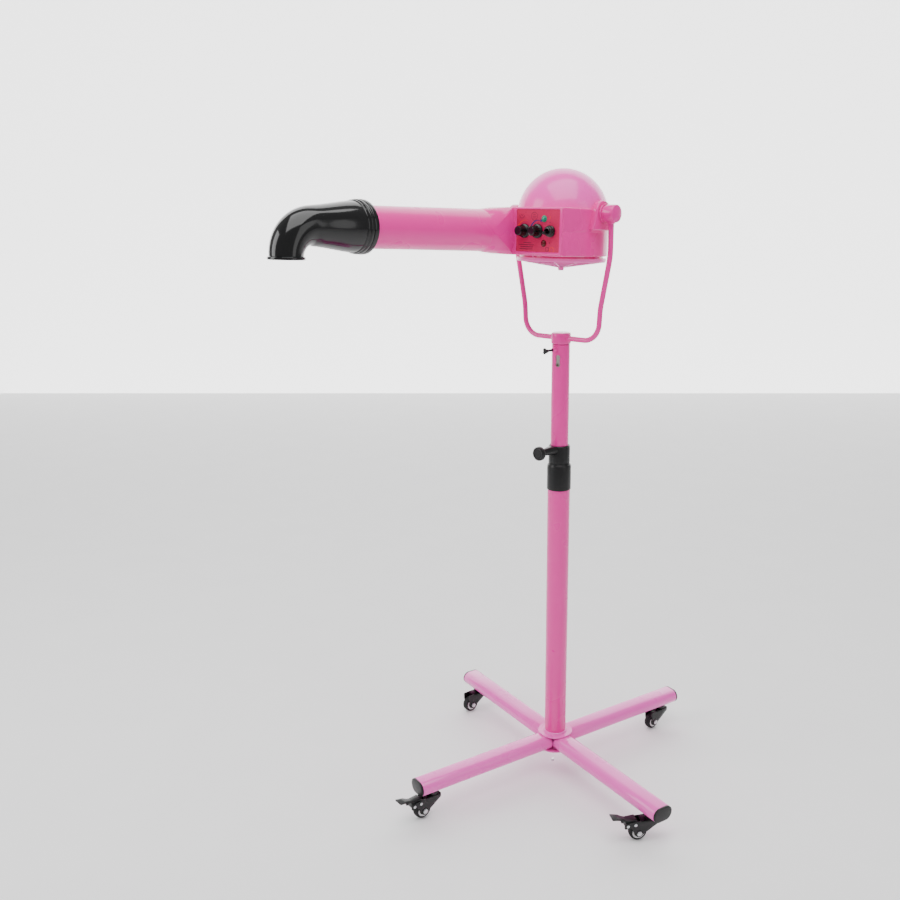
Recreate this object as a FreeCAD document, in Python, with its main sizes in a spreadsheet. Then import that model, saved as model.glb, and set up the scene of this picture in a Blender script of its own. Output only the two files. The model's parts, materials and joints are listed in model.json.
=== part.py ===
import FreeCAD, Part
import math
import os
import re

import Sketcher

# Stand hair dryer with a blown-air duct and elbow nozzle, on a four-legged castor base.
# Millimetres. The origin is on the floor under the mast, +Z is up, the duct points to -Y and
# the tilting head's pivot axis lies along X.

SIZES = {
    # castor base
    "leg_reach": 375.0,
    "leg_width": 50.0,
    "leg_height": 34.0,
    "leg_wall": 1.5,
    "castor_collar": 9.0,
    "leg_joint_gap": 0.2,
    "leg_turn": -14.0,
    "cap_lip": 4.0,
    "cap_plug": 14.0,
    "cap_fit": 0.1,
    "flange_radius": 40.5,
    "flange_thickness": 3.0,
    "base_bolt_circle": 33.0,
    "base_bolt_radius": 4.0,
    "base_bolt_fit": 0.3,
    "base_bolt_head": 5.0,
    "base_bolt_head_radius": 6.8,
    # castors
    "castor_inset": 34.0,
    "castor_heading": -9.0,
    "castor_right_turn": -25.0,
    "castor_trail": 29.0,
    "wheel_radius": 20.0,
    "wheel_width": 18.0,
    "wheel_side_gap": 1.0,
    "wheel_tread_edge": 2.5,
    "wheel_tread_depth": 5.0,
    "wheel_hub_step": 1.0,
    "fork_plate": 2.5,
    "fork_headroom": 9.0,
    "fork_roof": 3.0,
    "fork_nose": 15.0,
    "fork_nose_drop": 9.0,
    "fork_cheek": 9.0,
    "fork_cheek_level": 2.0,
    "fork_foot": 5.0,
    "fork_foot_level": 8.0,
    "fork_tail": 12.0,
    "fork_tail_drop": 14.0,
    "fork_roof_end": 4.0,
    "bracket_heel": 8.0,
    "bracket_toe": 7.5,
    "bracket_drop": 6.0,
    "bracket_rise": 5.0,
    "stem_radius": 5.0,
    "stem_head_radius": 8.0,
    "stem_head_height": 3.0,
    "stem_collar_radius": 13.0,
    "stem_rise": 18.0,
    "axle_radius": 3.0,
    "axle_nut_radius": 6.0,
    "axle_nut_height": 4.0,
    "running_fit": 0.06,
    "running_gap": 0.3,
    "pedal_pin_along": 55.0,
    "pedal_pin_drop": 8.0,
    "pedal_pin_radius": 2.0,
    "pedal_tip": 90.0,
    "pedal_width": 22.0,
    "pedal_lift": 4.0,
    "pedal_thickness": 3.5,
    "pedal_kink": 16.0,
    "pedal_heel": 20.0,
    "pedal_gap": 0.8,
    "pedal_block_heel": 6.0,
    "pedal_block_toe": 5.0,
    "pedal_block_drop": 4.0,
    "rivet_head_radius": 3.6,
    "rivet_head_height": 1.5,
    # telescopic mast
    "lower_tube_radius": 25.0,
    "upper_tube_radius": 19.5,
    "tube_wall": 1.5,
    "lower_tube_top": 745.0,
    "upper_tube_top": 1017.0,
    "upper_tube_foot": 290.0,
    "sleeve_drop": 47.0,
    "sleeve_rise": 12.0,
    "sleeve_wall": 1.5,
    "sleeve_shoulder": 3.0,
    "ring_rise": 53.0,
    "ring_radius": 23.5,
    "ring_fit": 0.3,
    "ring_boss_foot": 13.0,
    "ring_boss_tip": 6.0,
    "ring_boss_start": 12.0,
    "ring_boss_gap": 3.0,
    "bush_length": 60.0,
    "height_knob_rise": 45.0,
    "height_knob_radius": 15.0,
    "height_knob_width": 11.0,
    "height_knob_reach": 63.0,
    "height_screw_radius": 4.0,
    "height_knob_edge": 2.0,
    "window_turn": 20.0,
    "window_drop": 34.0,
    "window_width": 10.5,
    "window_height": 26.0,
    "window_waist": 6.0,
    "lock_drop": 10.0,
    "lock_screw_radius": 2.5,
    "lock_knob_radius": 7.0,
    "lock_knob_reach": 50.0,
    "lock_knob_width": 4.0,
    "lock_knob_edge": 1.5,
    "lock_boss_radius": 7.5,
    "lock_boss_length": 9.0,
    "lock_boss_root": 5.0,
    "spindle_radius": 10.0,
    "spindle_length": 60.0,
    "spindle_end_gap": 2.0,
    "bush_screw_radius": 3.6,
    "bush_screw_tip": 13.0,
    "bush_screw_inset": 1.0,
    # yoke
    "hub_radius": 21.0,
    "hub_height": 24.5,
    "hub_chamfer": 3.0,
    "hub_edge": 1.5,
    "yoke_bar_rise": 13.0,
    "rod_radius": 5.5,
    "yoke_foot_inset": 25.0,
    "yoke_knee_inset": 21.5,
    "yoke_knee_rise": 78.0,
    "yoke_shoulder_rise": 183.0,
    "yoke_side": 28.0,
    "yoke_corner": 38.0,
    "yoke_easy_bend": 150.0,
    "pivot_rise": 265.5,
    "pivot_sleeve_radius": 17.0,
    "pivot_sleeve_length": 22.0,
    "pivot_sleeve_end": 4.0,
    "pivot_sleeve_inset": 9.0,
    "pivot_sleeve_edge": 1.0,
    "pivot_bolt_radius": 6.0,
    "pivot_bolt_head_radius": 7.5,
    "pivot_bolt_head": 5.0,
    "pivot_washer_radius": 18.5,
    "pivot_washer_step": 15.5,
    # head casing
    "head_tilt": 2.1,
    "case_half_width": 94.0,
    "case_front": 116.0,
    "case_top": 8.0,
    "case_foot": -83.0,
    "case_wall": 3.0,
    "boss_height": 10.0,
    "boss_radius": 24.5,
    "boss_spread": 10.0,
    "boss_foot_rise": 5.0,
    "control_clearance": 3.0,
    "dome_ledge": 1.0,
    "dome_centre": -6.0,
    "dome_wall": 2.5,
    "dome_mouth_ledge": 14.0,
    "intake_ledge": 10.0,
    "duct_box_width": 62.5,
    "duct_root_length": 66.0,
    "duct_root_radius": 40.0,
    "duct_end_radius": 36.7,
    "duct_wall": 2.0,
    "duct_mouth_step": 0.5,
    "duct_parallel_run": 2.0,
    "duct_end": 500.0,
    # intake grille
    "grille_ledge": 2.0,
    "grille_gap": 4.5,
    "grille_rim_height": 8.0,
    "grille_depth": 21.0,
    "grille_bar": 3.0,
    "grille_bars": 12.0,
    "grille_nub_radius": 6.0,
    "grille_nub_height": 5.0,
    "grille_nub_edge": 1.0,
    "grille_nub_shoulder": 3.0,
    "grille_rib_overlap": 2.0,
    "grille_rim_width": 4.0,
    "grille_rim_edge": 3.0,
    "grille_post_radius": 1.8,
    "grille_post_inset": 2.0,
    # blower and heater
    "motor_radius": 38.0,
    "motor_drop": 28.0,
    "motor_rise": 47.0,
    "motor_plate": 2.5,
    "motor_plate_ledge": 10.0,
    "motor_foot_edge": 4.0,
    "motor_top_edge": 6.0,
    "motor_shaft_depth": 40.0,
    "impeller_gap": 14.0,
    "impeller_height": 44.0,
    "impeller_rise": 9.0,
    "impeller_blades": 24.0,
    "impeller_shaft_radius": 4.0,
    "impeller_shaft_gap": 2.0,
    "impeller_disc": 2.0,
    "impeller_hub_foot_radius": 12.0,
    "impeller_hub_radius": 14.0,
    "impeller_hub_rise": 6.0,
    "impeller_boss_radius": 10.0,
    "impeller_boss_height": 4.0,
    "impeller_blade_width": 14.0,
    "impeller_blade_inset": 1.0,
    "impeller_blade_thickness": 1.2,
    "impeller_ring_width": 16.0,
    "heater_start": 200.0,
    "heater_length": 150.0,
    "heater_clearance": 1.7,
    "heater_board": 1.5,
    "heater_ring_width": 5.0,
    "heater_ring_length": 3.0,
    # control panel
    "panel_thickness": 3.0,
    "panel_border": 6.0,
    "panel_left_border": 10.5,
    "panel_recess": 1.2,
    "panel_margin": 1.0,
    "control_level": -36.5,
    "heat_knob_across": 0.5,
    "air_knob_across": 33.3,
    "toggle_across": 65.8,
    "lamp_across": 49.3,
    "lamp_offset": 22.9,
    "knob_skirt_radius": 13.6,
    "knob_skirt_height": 5.0,
    "knob_grip_radius": 9.0,
    "knob_height": 22.0,
    "knob_shaft_radius": 3.0,
    "knob_shaft_depth": 4.0,
    "knob_skirt_edge": 1.5,
    "knob_grip_draft": 0.8,
    "knob_edge": 1.0,
    "toggle_boot_radius": 11.0,
    "toggle_boot_height": 12.0,
    "toggle_boot_wall": 4.0,
    "toggle_boot_foot": 3.0,
    "toggle_boot_taper": 2.0,
    "toggle_lever_radius": 2.5,
    "toggle_lever_length": 25.0,
    "toggle_lever_flare": 0.8,
    "toggle_lever_head": 4.0,
    "toggle_pin_radius": 3.0,
    "toggle_pin_length": 9.0,
    "toggle_rest": 8.0,
    "lamp_radius": 6.5,
    "lamp_height": 4.0,
    "lamp_step": 2.0,
    "lamp_rim": 1.0,
    # elbow nozzle
    "elbow_overlap": 24.0,
    "elbow_collar_length": 24.0,
    "elbow_collar_radius": 46.5,
    "elbow_inlet_radius": 43.5,
    "elbow_straight": 86.9,
    "elbow_bend_radius": 50.0,
    "elbow_throat_radius": 32.8,
    "elbow_outlet_radius": 28.3,
    "elbow_outlet_drop": 54.5,
    "elbow_wall": 2.5,
    "elbow_lip": 3.0,
    "elbow_lip_height": 5.0,
    "elbow_collar_edge": 1.5,
}

# Sizes that follow from the ones above, so that pieces that meet keep meeting.
TIED = {
    "fork_height": "2 * wheel_radius + fork_headroom",
    "leg_centre_height": "fork_height + castor_collar + leg_height / 2",
    "pedal_pin_height": "fork_height - pedal_pin_drop",
    "castor_circle": "leg_reach - castor_inset",
    "sleeve_foot": "lower_tube_top - sleeve_drop",
    "sleeve_top": "lower_tube_top + sleeve_rise",
    "ring_top": "lower_tube_top + ring_rise",
    "height_knob_level": "lower_tube_top + height_knob_rise",
    "window_level": "upper_tube_top - window_drop",
    "lock_level": "upper_tube_top - lock_drop",
    "yoke_bar_height": "upper_tube_top + yoke_bar_rise",
    "yoke_knee_height": "upper_tube_top + yoke_knee_rise",
    "yoke_shoulder_height": "upper_tube_top + yoke_shoulder_rise",
    "pivot_height": "upper_tube_top + pivot_rise",
    "yoke_half_width": "case_half_width + yoke_side",
    "yoke_foot_width": "yoke_half_width - yoke_foot_inset",
    "yoke_knee_width": "yoke_half_width - yoke_knee_inset",
    "dome_radius": "case_half_width - dome_ledge",
    "dome_mouth": "case_half_width - dome_mouth_ledge",
    "intake_radius": "case_half_width - intake_ledge",
    "grille_radius": "case_half_width - grille_ledge",
    "motor_foot": "case_top - motor_drop",
    "motor_top": "case_top + motor_rise",
    "motor_plate_radius": "case_half_width - motor_plate_ledge",
    "impeller_radius": "intake_radius - impeller_gap",
    "impeller_foot": "case_foot + impeller_rise",
    "impeller_top": "impeller_foot + impeller_height",
    "panel_left": "duct_box_width - case_half_width",
    "heater_radius": "duct_end_radius - duct_wall - heater_clearance",
    "elbow_start": "duct_end - elbow_overlap",
    "elbow_bend_start": "duct_end + elbow_straight",
}

doc = FreeCAD.newDocument("stand_dryer")
sheet = doc.addObject("Spreadsheet::Sheet", "size")
cells = {name: str(value) for name, value in SIZES.items()}
cells.update({name: "=" + formula for name, formula in TIED.items()})
for row, (name, content) in enumerate(cells.items(), start=1):
    sheet.set(f"A{row}", name)
    sheet.set(f"B{row}", content)
    sheet.setAlias(f"B{row}", name)
    doc.recompute()

V = FreeCAD.Vector
X_AXIS = V(1, 0, 0)
Y_AXIS = V(0, 1, 0)
Z_AXIS = V(0, 0, 1)
subparts = []


def num(text):
    """Value of an expression in the sheet's own names."""
    return float(sheet.evalExpression(str(text)))


def linked(text):
    """The same expression as another object has to write it."""
    return re.sub(
        r"[a-z_]+", lambda word: "size." + word.group() if word.group() in cells else word.group(), text
    )


def frame(x="0", y="0", z="0", axis=Z_AXIS, angle="0"):
    return FreeCAD.Placement(V(num(x), num(y), num(z)), FreeCAD.Rotation(axis, num(angle)))


def keep(piece, label, place=None):
    """Names a finished sub-part and puts it in its place."""
    piece.Label = label
    piece.Placement = place or FreeCAD.Placement()
    subparts.append(piece)
    return piece


# ---- sketch and feature helpers ------------------------------------------------------------

def new_body(name):
    return doc.addObject("PartDesign::Body", name)


def sketch_on(body, role):
    plane = next(feature for feature in body.Origin.OriginFeatures if feature.Role == role)
    sketch = body.newObject("Sketcher::SketchObject", body.Name + "_sketch")
    sketch.AttachmentSupport = [(plane, "")]
    sketch.MapMode = "FlatFace"
    return sketch


def hold(sketch, kind, geometry, point, text):
    index = sketch.addConstraint(Sketcher.Constraint(kind, -1, 1, geometry, point, num(text)))
    sketch.setExpression(f"Constraints[{index}]", linked(str(text)))


def outline(sketch, corners):
    """Closed straight-sided outline with every corner held by sheet sizes."""
    points = [V(num(x), num(y), 0) for x, y in corners]
    first = sketch.GeometryCount
    count = len(points)
    for i, point in enumerate(points):
        sketch.addGeometry(Part.LineSegment(point, points[(i + 1) % count]), False)
    for i in range(count):
        sketch.addConstraint(Sketcher.Constraint("Coincident", first + i, 2, first + (i + 1) % count, 1))
    for i, (x, y) in enumerate(corners):
        hold(sketch, "DistanceX", first + i, 1, x)
        hold(sketch, "DistanceY", first + i, 1, y)


def circle(sketch, x, y, radius):
    index = sketch.addGeometry(Part.Circle(V(num(x), num(y), 0), V(0, 0, 1), num(radius)), False)
    hold(sketch, "DistanceX", index, 3, x)
    hold(sketch, "DistanceY", index, 3, y)
    size_index = sketch.addConstraint(Sketcher.Constraint("Radius", index, num(radius)))
    sketch.setExpression(f"Constraints[{size_index}]", linked(str(radius)))


def flat_oval(sketch, width, height):
    """Stadium outline: two half circles joined by level lines."""
    radius = num(f"({height}) / 2")
    half = num(f"({width}) / 2") - radius
    quarter = math.pi / 2
    right_circle = Part.Circle(V(half, 0, 0), Z_AXIS, radius)
    left_circle = Part.Circle(V(-half, 0, 0), Z_AXIS, radius)
    right = sketch.addGeometry(Part.ArcOfCircle(right_circle, -quarter, quarter))
    top = sketch.addGeometry(Part.LineSegment(V(half, radius, 0), V(-half, radius, 0)))
    left = sketch.addGeometry(Part.ArcOfCircle(left_circle, quarter, 3 * quarter))
    bottom = sketch.addGeometry(Part.LineSegment(V(-half, -radius, 0), V(half, -radius, 0)))
    for one, other in ((right, top), (top, left), (left, bottom), (bottom, right)):
        sketch.addConstraint(Sketcher.Constraint("Tangent", one, 2, other, 1))
    sketch.addConstraint(Sketcher.Constraint("Equal", right, left))
    hold(sketch, "DistanceX", right, 3, f"(({width}) - ({height})) / 2")
    hold(sketch, "DistanceX", left, 3, f"-(({width}) - ({height})) / 2")
    sketch.addConstraint(Sketcher.Constraint("PointOnObject", right, 3, -1))
    size_index = sketch.addConstraint(Sketcher.Constraint("Radius", right, radius))
    sketch.setExpression(f"Constraints[{size_index}]", linked(f"({height}) / 2"))


def pad(body, sketch, length, midplane=False, reverse=False):
    feature = body.newObject("PartDesign::Pad", body.Name + "_pad")
    feature.Profile = sketch
    feature.setExpression("Length", linked(str(length)))
    feature.Midplane = midplane
    feature.Reversed = reverse
    doc.recompute()
    return feature


def pocket(body, sketch, length, midplane=False, reverse=False):
    before = body.Shape.Volume
    feature = body.newObject("PartDesign::Pocket", body.Name + "_pocket")
    feature.Profile = sketch
    feature.setExpression("Length", linked(str(length)))
    feature.Midplane = midplane
    feature.Reversed = reverse
    doc.recompute()
    if not body.Shape.Volume < before:
        raise RuntimeError(f"{body.Name}: a pocket cuts nothing")
    return feature


def revolve(body, *outlines):
    sketch = sketch_on(body, "XZ_Plane")
    for corners in outlines:
        outline(sketch, corners)
    feature = body.newObject("PartDesign::Revolution", body.Name + "_turned")
    feature.Profile = sketch
    feature.ReferenceAxis = (sketch, ["V_Axis"])
    feature.Angle = 360
    doc.recompute()
    return feature


def polar(body, feature, count):
    pattern = body.newObject("PartDesign::PolarPattern", body.Name + "_ring")
    pattern.Originals = [feature]
    pattern.Axis = (next(item for item in body.Origin.OriginFeatures if item.Role == "Z_Axis"), [""])
    pattern.Angle = 360
    pattern.setExpression("Occurrences", linked(str(count)))
    body.Tip = pattern
    doc.recompute()
    return pattern


def turned(label, corners, place=None):
    """Round piece: an outline of (radius, height) turned about its own Z axis."""
    body = new_body(label)
    revolve(body, corners)
    return keep(body, label, place)


def tube_outline(inner, outer, foot, top):
    return [(inner, foot), (outer, foot), (outer, top), (inner, top)]


def made(label, shape, place=None):
    """Sub-part shaped by Part's functions from sheet sizes."""
    piece = doc.addObject("Part::Feature", label)
    piece.Shape = shape
    return keep(piece, label, place)


def cylinder(radius, length, start=V(0, 0, 0), direction=Z_AXIS):
    return Part.makeCylinder(radius, length, start, direction)


def box(x0, x1, y0, y1, z0, z1):
    return Part.makeBox(x1 - x0, y1 - y0, z1 - z0, V(x0, y0, z0))


# ---- castor base ---------------------------------------------------------------------------

LEGS = {"front": -90, "right": 0, "back": 90, "left": 180}
LEG_TOP = "leg_centre_height + leg_height / 2"
LEG_FOOT = "leg_centre_height - leg_height / 2"
base_frame = frame(angle="leg_turn")


def leg_frame(bearing):
    """Legs run along their own +X, at mid-height of the tube."""
    lift = FreeCAD.Placement(V(0, 0, num("leg_centre_height")), FreeCAD.Rotation(Z_AXIS, bearing))
    return base_frame * lift


def leg(label, bearing):
    """Flat-oval steel tube with two bolt holes at the root and a castor hole below the tip."""
    body = new_body(label)
    section = sketch_on(body, "YZ_Plane")
    flat_oval(section, "leg_width", "leg_height")
    pad(body, section, "leg_reach - leg_width / 2 - leg_joint_gap")
    bore = sketch_on(body, "YZ_Plane")
    flat_oval(bore, "leg_width - 2 * leg_wall", "leg_height - 2 * leg_wall")
    pocket(body, bore, "leg_reach", reverse=True)
    bolt_hole = sketch_on(body, "XY_Plane")
    bolt_along = "base_bolt_circle - leg_width / 2 - leg_joint_gap"
    circle(bolt_hole, bolt_along, "0", "base_bolt_radius + base_bolt_fit")
    pocket(body, bolt_hole, "2 * leg_height", midplane=True)
    stem_hole = sketch_on(body, "XY_Plane")
    circle(stem_hole, "castor_circle - leg_width / 2 - leg_joint_gap", "0", "stem_radius")
    pocket(body, stem_hole, "leg_height")
    root = FreeCAD.Placement(V(num("leg_width / 2 + leg_joint_gap"), 0, 0), FreeCAD.Rotation())
    return keep(body, label, leg_frame(bearing) * root)


def leg_cap(label, bearing):
    """Black plastic end plug: a lip over the tube's end and a plug inside it."""
    body = new_body(label)
    lip = sketch_on(body, "YZ_Plane")
    flat_oval(lip, "leg_width", "leg_height")
    pad(body, lip, "cap_lip")
    plug = sketch_on(body, "YZ_Plane")
    flat_oval(plug, "leg_width - 2 * leg_wall - 2 * cap_fit", "leg_height - 2 * leg_wall - 2 * cap_fit")
    pad(body, plug, "cap_plug", reverse=True)
    tip = FreeCAD.Placement(V(num("leg_reach"), 0, 0), FreeCAD.Rotation())
    return keep(body, label, leg_frame(bearing) * tip)


for side, bearing in LEGS.items():
    leg("leg_" + side, bearing)
    leg_cap("leg_cap_" + side, bearing)

turned(
    "base_top_flange",
    [("0", "0"), ("flange_radius", "0"), ("flange_radius", "flange_thickness"), ("0", "flange_thickness")],
    frame(z=LEG_TOP),
)
bottom_plate = new_body("base_bottom_plate")
plate_sketch = sketch_on(bottom_plate, "XY_Plane")
circle(plate_sketch, "0", "0", "flange_radius")
for bolt_x, bolt_y in (("1", "0"), ("0", "1"), ("-1", "0"), ("0", "-1")):
    circle(
        plate_sketch,
        f"{bolt_x} * base_bolt_circle",
        f"{bolt_y} * base_bolt_circle",
        "base_bolt_radius + base_bolt_fit",
    )
pad(bottom_plate, plate_sketch, "flange_thickness")
keep(bottom_plate, "base_bottom_plate", base_frame * frame(z=f"{LEG_FOOT} - flange_thickness"))


def ring_of_four(radius, shape):
    """The same solid at the four leg bearings, as one group of separate solids."""
    copies = []
    for bearing in LEGS.values():
        copy = shape.copy()
        copy.Placement = FreeCAD.Placement(V(), FreeCAD.Rotation(Z_AXIS, bearing)) * FreeCAD.Placement(
            V(radius, 0, 0), FreeCAD.Rotation()
        )
        copies.append(copy)
    return Part.makeCompound(copies)


bolt_length = num("leg_height + flange_thickness")
bolt_head = cylinder(num("base_bolt_head_radius"), num("base_bolt_head"), V(0, 0, -num("base_bolt_head")))
base_bolt = cylinder(num("base_bolt_radius"), bolt_length).fuse(bolt_head).removeSplitter()
made(
    "base_bolts",
    ring_of_four(num("base_bolt_circle"), base_bolt),
    base_frame * frame(z=f"{LEG_FOOT} - flange_thickness"),
)

# ---- castors -------------------------------------------------------------------------------

ROOF_TOP = "fork_height"
ROOF_FOOT = "fork_height - fork_roof"


def stem_shape():
    """Castor stem: bearing collar under the leg, pin up into the tube, riveted head below."""
    gap = num("running_gap")
    roof_top = num(ROOF_TOP)
    roof_foot = num(ROOF_FOOT)
    leg_foot = num(LEG_FOOT)
    pin_length = leg_foot + num("stem_rise") - roof_foot + gap
    pin = cylinder(num("stem_radius"), pin_length, V(0, 0, roof_foot - gap))
    collar = cylinder(num("stem_collar_radius"), leg_foot - roof_top - gap, V(0, 0, roof_top + gap))
    head_height = num("stem_head_height")
    head = cylinder(num("stem_head_radius"), head_height, V(0, 0, roof_foot - gap - head_height))
    return pin.fuse(collar).fuse(head).removeSplitter()


made("castor_stems", ring_of_four(num("castor_circle"), stem_shape()), base_frame)


def castor_frame(bearing, turn):
    """Castor's own frame: swivel axis on Z from the floor, trailing along +X."""
    spot = base_frame * FreeCAD.Placement(V(), FreeCAD.Rotation(Z_AXIS, bearing)) * frame(x="castor_circle")
    return FreeCAD.Placement(spot.Base, FreeCAD.Rotation(Z_AXIS, turn + num("castor_heading - 90")))


FORK_INNER = "wheel_width + 2 * wheel_side_gap"


def fork(label, place, braked):
    """Pressed fork: side plates round the wheel; with a brake they run on to a pedal bracket."""
    body = new_body(label)
    side = sketch_on(body, "XZ_Plane")
    front = [("-fork_nose", ROOF_TOP), ("-fork_nose", "fork_height - fork_nose_drop")]
    nose = [
        ("castor_trail - fork_cheek", "wheel_radius - fork_cheek_level"),
        ("castor_trail - fork_foot", "wheel_radius - fork_foot_level"),
        ("castor_trail + fork_foot", "wheel_radius - fork_foot_level"),
        ("castor_trail + fork_cheek", "wheel_radius - fork_cheek_level"),
    ]
    if braked:
        back = [
            ("pedal_pin_along - bracket_heel", "pedal_pin_height - bracket_drop"),
            ("pedal_pin_along + bracket_toe", "pedal_pin_height - bracket_drop"),
            ("pedal_pin_along + bracket_toe", "pedal_pin_height + bracket_rise"),
            ("pedal_pin_along - bracket_heel", ROOF_TOP),
        ]
    else:
        tail = "castor_trail + fork_tail"
        back = [(tail, "fork_height - fork_tail_drop"), (tail, ROOF_TOP)]
    outline(side, front + nose + back)
    pad(body, side, f"{FORK_INNER} + 2 * fork_plate", midplane=True)
    channel = sketch_on(body, "XZ_Plane")
    roof_end = "castor_trail - fork_roof_end"
    past_nose = "-2 * fork_nose"
    past_roof = "2 * fork_height"
    outline(
        channel,
        [(past_nose, "0"), ("pedal_tip", "0"), ("pedal_tip", past_roof), (roof_end, past_roof),
         (roof_end, ROOF_FOOT), (past_nose, ROOF_FOOT)],
    )
    pocket(body, channel, FORK_INNER, midplane=True)
    holes = sketch_on(body, "XZ_Plane")
    circle(holes, "castor_trail", "wheel_radius", "axle_radius")
    if braked:
        circle(holes, "pedal_pin_along", "pedal_pin_height", "pedal_pin_radius")
    pocket(body, holes, "2 * fork_height", midplane=True)
    swivel = sketch_on(body, "XY_Plane")
    circle(swivel, "0", "0", "stem_radius + running_fit")
    pocket(body, swivel, "2 * fork_height", midplane=True)
    return keep(body, label, place)


def axle_shape(braked):
    """Axle bolt with a nut on each side; a braked castor adds the pedal's rivet."""
    span = num(f"{FORK_INNER} + 2 * fork_plate")
    nut = num("axle_nut_height")
    spot = V(num("castor_trail"), -span / 2 - nut, num("wheel_radius"))
    shape = cylinder(num("axle_radius"), span + 2 * nut, spot, Y_AXIS)
    for side in (-1, 1):
        start = V(spot.x, side * span / 2 - (nut if side < 0 else 0), spot.z)
        shape = shape.fuse(cylinder(num("axle_nut_radius"), nut, start, Y_AXIS))
    shape = shape.removeSplitter()
    if not braked:
        return shape
    rivet_head = num("rivet_head_height")
    start = V(num("pedal_pin_along"), -span / 2 - rivet_head, num("pedal_pin_height"))
    rivet = cylinder(num("pedal_pin_radius"), span + 2 * rivet_head, start, Y_AXIS)
    for side in (-1, 1):
        head_start = V(start.x, side * span / 2 - (rivet_head if side < 0 else 0), start.z)
        rivet = rivet.fuse(cylinder(num("rivet_head_radius"), rivet_head, head_start, Y_AXIS))
    return Part.makeCompound([shape, rivet.removeSplitter()])


def wheel(label, place):
    """Wheel with a tread, turned about its axle."""
    half = "wheel_width / 2"
    bore = "axle_radius + running_fit"
    hub_edge = "wheel_radius - wheel_tread_depth - wheel_hub_step"
    tread_inner = "wheel_radius - wheel_tread_depth"
    tread_edge = "wheel_radius - wheel_tread_edge"
    profile = [
        (bore, f"-{half}"),
        (hub_edge, f"-{half}"),
        (tread_inner, f"-{half} + wheel_hub_step"),
        (tread_edge, f"-{half} + wheel_hub_step"),
        ("wheel_radius", f"-{half} + wheel_hub_step + wheel_tread_edge"),
        ("wheel_radius", f"{half} - wheel_hub_step - wheel_tread_edge"),
        (tread_edge, f"{half} - wheel_hub_step"),
        (tread_inner, f"{half} - wheel_hub_step"),
        (hub_edge, half),
        (bore, half),
    ]
    hub = FreeCAD.Placement(V(num("castor_trail"), 0, num("wheel_radius")), FreeCAD.Rotation(X_AXIS, 90))
    return turned(label, profile, place * hub)


def pedal(label, place):
    """Brake pedal: a tread bar over a block that hangs on the rivet between the fork plates."""
    body = new_body(label)
    block = sketch_on(body, "XZ_Plane")
    block_heel = "pedal_pin_along - pedal_block_heel"
    block_toe = "pedal_pin_along + pedal_block_toe"
    low = "pedal_pin_height - pedal_block_drop"
    bar_foot = "fork_height + pedal_gap"
    high = "fork_height + pedal_gap + pedal_thickness / 2"
    outline(block, [(block_heel, low), (block_toe, low), (block_toe, high), (block_heel, high)])
    pad(body, block, f"{FORK_INNER} - 2 * running_gap", midplane=True)
    bar = sketch_on(body, "XZ_Plane")
    heel = "pedal_pin_along - pedal_heel"
    kink = "pedal_tip - pedal_kink"
    tip_foot = f"{bar_foot} + pedal_lift"
    kink_foot = f"{bar_foot} + pedal_lift * 0.7"
    outline(
        bar,
        [(heel, bar_foot), (block_toe, bar_foot), (kink, kink_foot), ("pedal_tip", tip_foot),
         ("pedal_tip", f"{tip_foot} + pedal_thickness"), (kink, f"{kink_foot} + pedal_thickness"),
         (block_toe, f"{bar_foot} + pedal_thickness"), (heel, f"{bar_foot} + pedal_thickness")],
    )
    pad(body, bar, "pedal_width", midplane=True)
    pin_hole = sketch_on(body, "XZ_Plane")
    circle(pin_hole, "pedal_pin_along", "pedal_pin_height", "pedal_pin_radius + running_fit")
    pocket(body, pin_hole, "2 * fork_height", midplane=True)
    return keep(body, label, place)


for side, bearing in LEGS.items():
    braked = side in ("front", "right")
    place = castor_frame(bearing, num("castor_right_turn") if side == "right" else 0)
    fork("castor_fork_" + side, place, braked)
    made("castor_axle_" + side, axle_shape(braked), place)
    wheel("castor_wheel_" + side, place)
    if braked:
        pedal("brake_pedal_" + side, place)

# ---- telescopic mast -----------------------------------------------------------------------

LOWER_BORE = "lower_tube_radius - tube_wall"
UPPER_BORE = "upper_tube_radius - tube_wall"
TUBE_FOOT = f"{LEG_TOP} + flange_thickness"
turned("lower_tube", tube_outline(LOWER_BORE, "lower_tube_radius", TUBE_FOOT, "lower_tube_top"))
turned(
    "mast_sleeve",
    [
        ("lower_tube_radius", "sleeve_foot"),
        ("lower_tube_radius + sleeve_wall", "sleeve_foot"),
        ("lower_tube_radius + sleeve_wall", "sleeve_top - sleeve_shoulder"),
        ("ring_radius", "sleeve_top"),
        ("upper_tube_radius + ring_fit", "sleeve_top"),
        ("upper_tube_radius + ring_fit", "lower_tube_top"),
        ("lower_tube_radius", "lower_tube_top"),
    ],
)
turned(
    "guide_bush",
    tube_outline(
        "upper_tube_radius + running_fit", LOWER_BORE, "lower_tube_top - bush_length", "lower_tube_top"
    ),
)


def toward_front(level, turn="0"):
    """Frame whose +Z runs out from the mast's axis towards -Y, at a given height."""
    aim = FreeCAD.Placement(V(0, 0, num(level)), FreeCAD.Rotation(Z_AXIS, num(turn)))
    return aim * FreeCAD.Placement(V(), FreeCAD.Rotation(X_AXIS, 90))


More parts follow.
